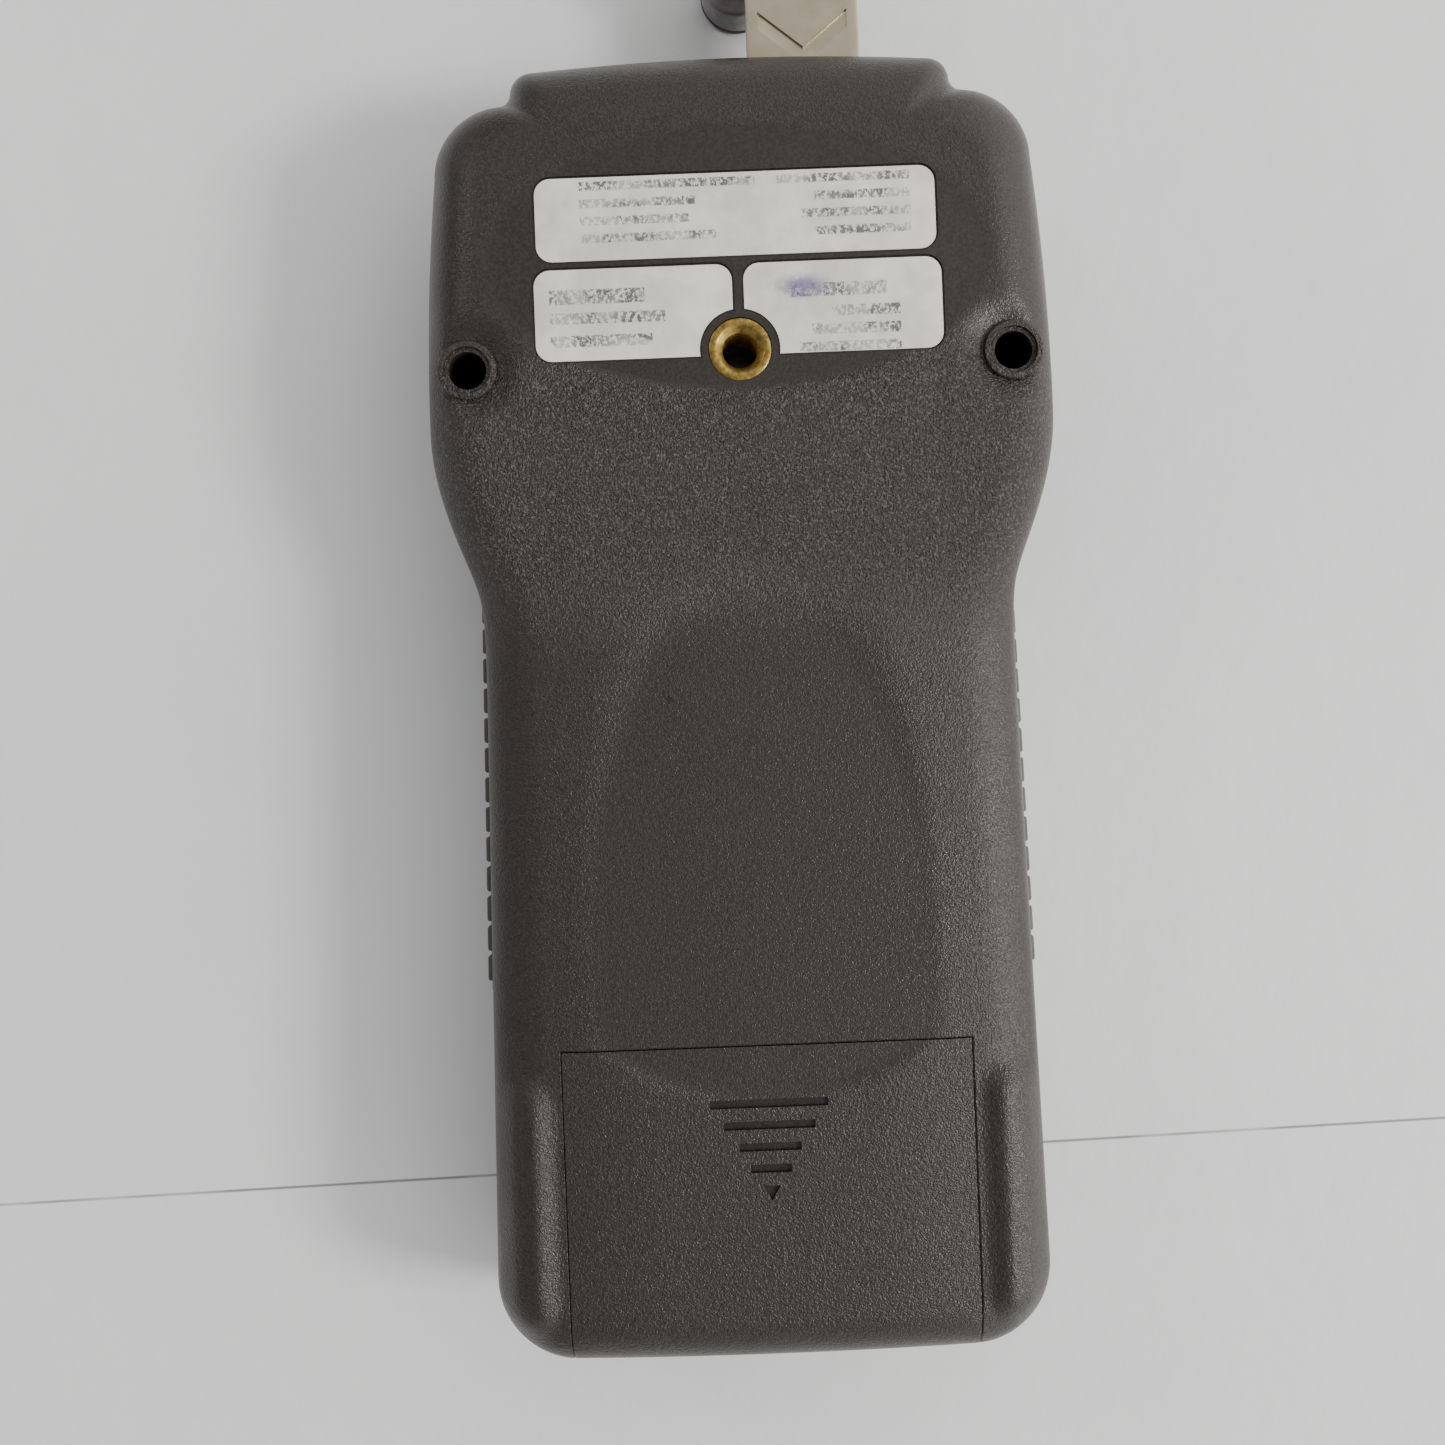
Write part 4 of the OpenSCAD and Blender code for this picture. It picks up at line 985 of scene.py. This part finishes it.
label_z = CASE_H - LABEL_SINK
top_spans = ((-23.0, 3.0, 78.0), (-23.0, -6.0, 75.4), (-23.0, -7.0, 72.8), (-23.0, -3.0, 70.2),
             (6.0, 26.0, 78.0), (12.0, 26.0, 75.4), (10.0, 26.0, 72.8), (12.0, 26.0, 70.2))
top_rows = [(*span, 0.65) for span in top_spans]
left_rows = [(-28.0, -14.0, 61.6, 1.1), (-28.0, -11.0, 58.4, 0.85), (-28.0, -13.0, 55.0, 0.85)]
right_rows = [(8.0, 22.0, 61.4, 1.0), (14.0, 24.0, 58.2, 0.8),
              (11.0, 24.0, 55.5, 0.8), (9.0, 24.0, 52.9, 0.7)]
left_label, right_label = ((LOW_LABEL_W, LOW_LABEL_L, x, LOW_LABEL_Y) for x in (-LOW_LABEL_X, LOW_LABEL_X))
label_list = (("label_top", TOP_LABEL, top_rows, None), ("label_left", left_label, left_rows, None),
              ("label_right", right_label, right_rows, (9.5, 62.0)))
for name, (w, l, x, y), rows, stamp in label_list:
    film = slab(name + "_film", w, l, LABEL_R, x, y, label_z, label_z + LABEL_T, edge=0.06)
    if name != "label_top":
        cut(film, rod("ring", (0, INSERT_Y), RING_R + LABEL_GAP, CASE_H - 3, CASE_H + 3))
    smooth(film)
    dress(film, label_finish(name + "_paper", rows, stamp))
    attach(film, "case")
    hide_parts(name)

# ---- Probe ----


def chevron_arm(side, y):
    """Half of the sunk arrow on the blade. Its floor rises from the inner to the outer edge."""
    half_w, deep, arm, inner, outer = 7.1, 5.8, 2.9, 0.42, 0.12
    corners = [(side * half_w, y, inner), (0, y - deep, inner), (0, y - deep - arm, outer),
               (side * half_w, y - arm, outer)]
    low = [(BLADE_X + a, b, BLADE_TOP - sunk) for a, b, sunk in corners]
    return stack("chevron", [low, [(a, b, BLADE_TOP + 1) for a, b, z in low]])


def probe_blade():
    """The blade with its lug for the puck, its arrow, and the slot for the socket's tongue."""
    edge, lug_r, length = 0.3, PUCK_R + 1.2, BLADE_IN + BLADE_OUT
    levels, web_x = (BLADE_LOW, BLADE_TOP), (PUCK_X + BLADE_X) / 2
    blade = slab("blade", BLADE_W, length, 1.6, BLADE_X, TOP_Y - BLADE_IN + length / 2, *levels, edge=edge)
    add(blade, rod("lug", (PUCK_X, PUCK_Y), lug_r, *levels, edge=edge))
    add(blade, slab("web", BLADE_X - PUCK_X, 2 * lug_r, 0.3, web_x, PUCK_Y, *levels, edge=edge))
    cut(blade, chevron_arm(-1, ARROW_Y), chevron_arm(1, ARROW_Y))
    tongue_w, tongue_t, tongue_l, gap = BLADE_W - 4.4, 1.1, BLADE_IN - 3.5, 0.3
    half_w, half_t, end_y = tongue_w / 2 + gap, tongue_t / 2 + gap, TOP_Y - BLADE_IN
    cut(blade, block("slot", (BLADE_X - half_w, end_y - 1, BLADE_Z - half_t),
                     (BLADE_X + half_w, end_y + tongue_l + 0.4, BLADE_Z + half_t + 0.1)))
    cut(blade, rod("rivet_hole", (PUCK_X, PUCK_Y), RIVET_R, 0, CASE_H))
    smooth(blade)
    return blade


blade = probe_blade()
dress(blade, nickel)
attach(blade, "probe")
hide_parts("probe_blade")


def turned(name, cad_node, body, mat, profile, centre):
    """A turned piece, from its profile of (radius, height)."""
    obj = lathe(name, profile, centre)
    smooth(obj)
    dress(obj, mat)
    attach(obj, body)
    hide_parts(cad_node)


puck_low, puck_top, stem_low, stem_r = PUCK_Z + 1, PUCK_Z + PUCK_H, BLADE_LOW - 6, 3.4
puck_profile = [(RIVET_R, stem_low), (RIVET_R, BLADE_LOW), (stem_r, BLADE_LOW), (stem_r, puck_top + 0.3),
                (stem_r + 0.3, puck_top), (PUCK_R - 0.9, puck_top), (PUCK_R - 0.35, puck_top - 0.15),
                (PUCK_R - 0.08, puck_top - 0.45), (PUCK_R, puck_top - 0.9), (PUCK_R, puck_low),
                (SOLID_R, puck_low), (SOLID_R, stem_low)]
puck_at = (PUCK_X, PUCK_Y)
turned("puck_body", "sensor_puck", "probe", puck_metal, puck_profile, puck_at)
rim = PUCK_R + 0.1
base_profile = [(SOLID_R, PUCK_Z), (rim - 0.3, PUCK_Z), (rim - 0.08, PUCK_Z + 0.1), (rim, PUCK_Z + 0.35),
                (rim, PUCK_Z + 0.85), (rim - 0.12, puck_low), (SOLID_R, puck_low)]
turned("puck_ring", "puck_base", "probe", puck_base_mat, base_profile, puck_at)
rivet_profile = [(SOLID_R, stem_low), (RIVET_R, stem_low), (RIVET_R, BLADE_TOP), (2.8, BLADE_TOP),
                 (2.75, BLADE_TOP + 0.4), (2.3, BLADE_TOP + 0.75), (1.4, BLADE_TOP + 0.9),
                 (SOLID_R, BLADE_TOP + 0.9)]
turned("rivet_head", "puck_rivet", "probe", rivet_steel, rivet_profile, puck_at)

# ---- CAD pieces that are carried over ----

screw_steel = worn("screw_steel", (0.05, 0.05, 0.05), 0.35, metal=1.0, patch_mm=2.0)
contact_gold = worn("contact_metal", (0.75, 0.55, 0.22), 0.28, metal=1.0, patch_mm=1.0)
black_plastic = worn("black_plastic", (0.02, 0.02, 0.02), 0.45, patch_mm=6.0)
key_grey = worn("grey_key", (0.20, 0.20, 0.195), 0.6, grain_mm=0.4, grain_deep=0.03)
key_red = worn("red_key", (0.30, 0.035, 0.025), 0.6, grain_mm=0.4, grain_deep=0.03)
film_dark = worn("keypad_film", (0.035, 0.035, 0.038), 0.5, grain_mm=0.25, grain_deep=0.02)
board_green = worn("board_laminate", (0.02, 0.10, 0.045), 0.4, patch_mm=12.0, change=0.2)
chip_black = worn("chip_plastic", (0.022, 0.022, 0.024), 0.55, grain_mm=0.15, grain_deep=0.01)
can_blue = worn("capacitor_can", (0.04, 0.06, 0.19), 0.35, patch_mm=4.0)
strip_rubber = worn("strip_rubber", (0.20, 0.05, 0.11), 0.6)
display_grey = worn("display_glass", (0.22, 0.27, 0.20), 0.12, patch_mm=15.0, change=0.05)
red_wire = worn("red_wire", (0.42, 0.02, 0.02), 0.4, patch_mm=3.0)
black_wire = worn("black_wire", (0.015, 0.015, 0.015), 0.4, patch_mm=3.0)


def lens_finish():
    """Clear moulded plastic with a faint waviness."""
    mat, tree, shader, at = start("clear_lens", (0.80, 0.84, 0.82), 0.08)
    shader.inputs["Transmission Weight"].default_value = 0.85
    shader.inputs["IOR"].default_value = 1.49
    relief(tree, shader, noise(tree, at, 14.0, 2.0), 0.02)
    return mat


def battery_finish():
    """A printed metal jacket: dark with one pale band, and no words."""
    mat, tree, shader, at = start("battery_case", (0.05, 0.055, 0.075), 0.35, metal=0.3)
    x, y, z = case_plane(tree, at)
    band = within(tree, x, 7.15, 14.15, 0.15)
    stain = ramp(tree, noise(tree, at, 6.0, 4.0, 0.6), 0.3, 0.7, 0.0, 0.25)
    colour = mix(tree, band, (0.045, 0.05, 0.075), (0.42, 0.42, 0.40))
    tree.links.new(mix(tree, stain, colour, (0.02, 0.02, 0.02)), shader.inputs["Base Color"])
    return mat


def carry(node, mat, edge_mm=0.0):
    """Gives a CAD node its finish, with softly rounded edges where they show."""
    obj = nodes[node]
    dress(obj, mat)
    if edge_mm:
        m = obj.modifiers.new("round", "BEVEL")
        m.width = edge_mm * MM
        m.segments = 2
        m.limit_method = "ANGLE"
        m.angle_limit = math.radians(35)
        m.use_clamp_overlap = True


carried = (
    ("battery", battery_finish(), 0.25), ("battery_snap", black_plastic, 0.3),
    ("battery_lead_red", red_wire, 0), ("battery_lead_black", black_wire, 0),
    ("upper_case_screws", screw_steel, 0), ("lower_case_screws", screw_steel, 0),
    ("display_window", lens_finish(), 0.15), ("lcd_frame", black_plastic, 0),
    ("lcd_panel", display_grey, 0), ("zebra_strips", strip_rubber, 0),
    ("keypad_overlay", film_dark, 0), ("power_key", key_red, 0.25), ("hold_key", key_grey, 0.25),
    ("zero_key", key_grey, 0.25), ("range_key", key_grey, 0.25), ("mode_key", key_grey, 0.25),
    ("light_key", key_grey, 0.25), ("key_domes", rivet_steel, 0),
    ("main_board", board_green, 0), ("board_screws", screw_steel, 0), ("main_chip", chip_black, 0),
    ("small_chips", chip_black, 0), ("capacitors", can_blue, 0), ("crystal_can", rivet_steel, 0),
    ("buzzer", black_plastic, 0), ("probe_socket", black_plastic, 0),
    ("socket_contacts", contact_gold, 0), ("blade_contacts", contact_gold, 0))
for node, mat, edge_mm in carried:
    carry(node, mat, edge_mm)

# ---- Floor, light and camera ----

JOINT_Y, JOINT_SLOPE = -78.9, 0.0218


def pale_floor():
    """Painted board with one open joint across it."""
    mat, tree, shader, at = start("floor_paint", (0.60, 0.61, 0.62), 0.55)
    x, y, z = case_plane(tree, at)
    shade = ramp(tree, noise(tree, at, 120.0, 3.0), 0.3, 0.7)
    off_joint = calc(tree, "ABSOLUTE", line(tree, x, -JOINT_SLOPE, calc(tree, "ADD", y, -JOINT_Y)))
    dirt = ramp(tree, noise(tree, at, 30.0, 2.0), 0.3, 0.5, 0.3, 0.8)
    joint = product(tree, ramp(tree, off_joint, 0.1, 0.35, 1.0, 0.0), dirt)
    paint = mix(tree, shade, (0.71, 0.72, 0.725), (0.76, 0.765, 0.765))
    tree.links.new(mix(tree, joint, paint, (0.12, 0.12, 0.12)), shader.inputs["Base Color"])
    relief(tree, shader, noise(tree, at, 11.0, 4.0, 0.6), 0.25)
    return mat


floor_mesh = bpy.data.meshes.new("floor")
reach = 3.0
floor_corners = [(-reach, -reach, 0), (reach, -reach, 0), (reach, reach, 0), (-reach, reach, 0)]
floor_mesh.from_pydata(floor_corners, [], [(0, 1, 2, 3)])
floor = bpy.data.objects.new("floor", floor_mesh)
bpy.context.scene.collection.objects.link(floor)
dress(floor, pale_floor())


def studio_world(towards, low, high, strength):
    """Even light that is brightest towards one side, falls off to the other, and is shaded above."""
    world = bpy.data.worlds.new("studio")
    bpy.context.scene.world = world
    world.use_nodes = True
    tree = world.node_tree
    look = put(tree, "ShaderNodeTexCoord").outputs["Generated"]
    facing = put(tree, "ShaderNodeVectorMath", {0: look, 1: Vector(towards).normalized()},
                 operation="DOT_PRODUCT").outputs["Value"]
    background = tree.nodes["Background"]
    height = put(tree, "ShaderNodeSeparateXYZ", {"Vector": look}).outputs["Z"]
    open_sky = mix(tree, ramp(tree, facing, -0.2, 1.0), low, high)
    shaded = mix(tree, ramp(tree, height, 0.80, 0.98, 0.0, 0.32), open_sky, (0.0, 0.0, 0.0))
    tree.links.new(shaded, background.inputs["Color"])
    background.inputs["Strength"].default_value = strength


studio_world((0.9, 0.1, 0.35), (0.19, 0.19, 0.195), (1.0, 0.99, 0.97), 1.90)


def area_light(name, place, size, power, colour):
    """A square light that faces the middle of the floor."""
    data = bpy.data.lights.new(name, "AREA")
    data.shape = "RECTANGLE"
    data.size = data.size_y = size
    data.energy = power
    data.color = colour
    obj = bpy.data.objects.new(name, data)
    obj.location = place
    obj.rotation_euler = (-Vector(place)).to_track_quat("-Z", "Y").to_euler()
    bpy.context.scene.collection.objects.link(obj)


area_light("key", (1.05, -0.25, 0.95), 0.30, 15.0, (1.0, 0.99, 0.97))
area_light("far_side", (-0.8, 0.6, 0.8), 0.20, 1.6, (1.0, 0.995, 0.98))

camera_data = bpy.data.cameras.new("camera")
camera_data.lens = 36.1
camera_data.sensor_width = 36.0
camera_data.clip_start = 0.01
camera = bpy.data.objects.new("camera", camera_data)
camera.location = (-0.00475, -0.02042, 0.2533)
camera.rotation_euler = (0, 0, math.radians(-2.2))
bpy.context.scene.collection.objects.link(camera)
bpy.context.scene.camera = camera
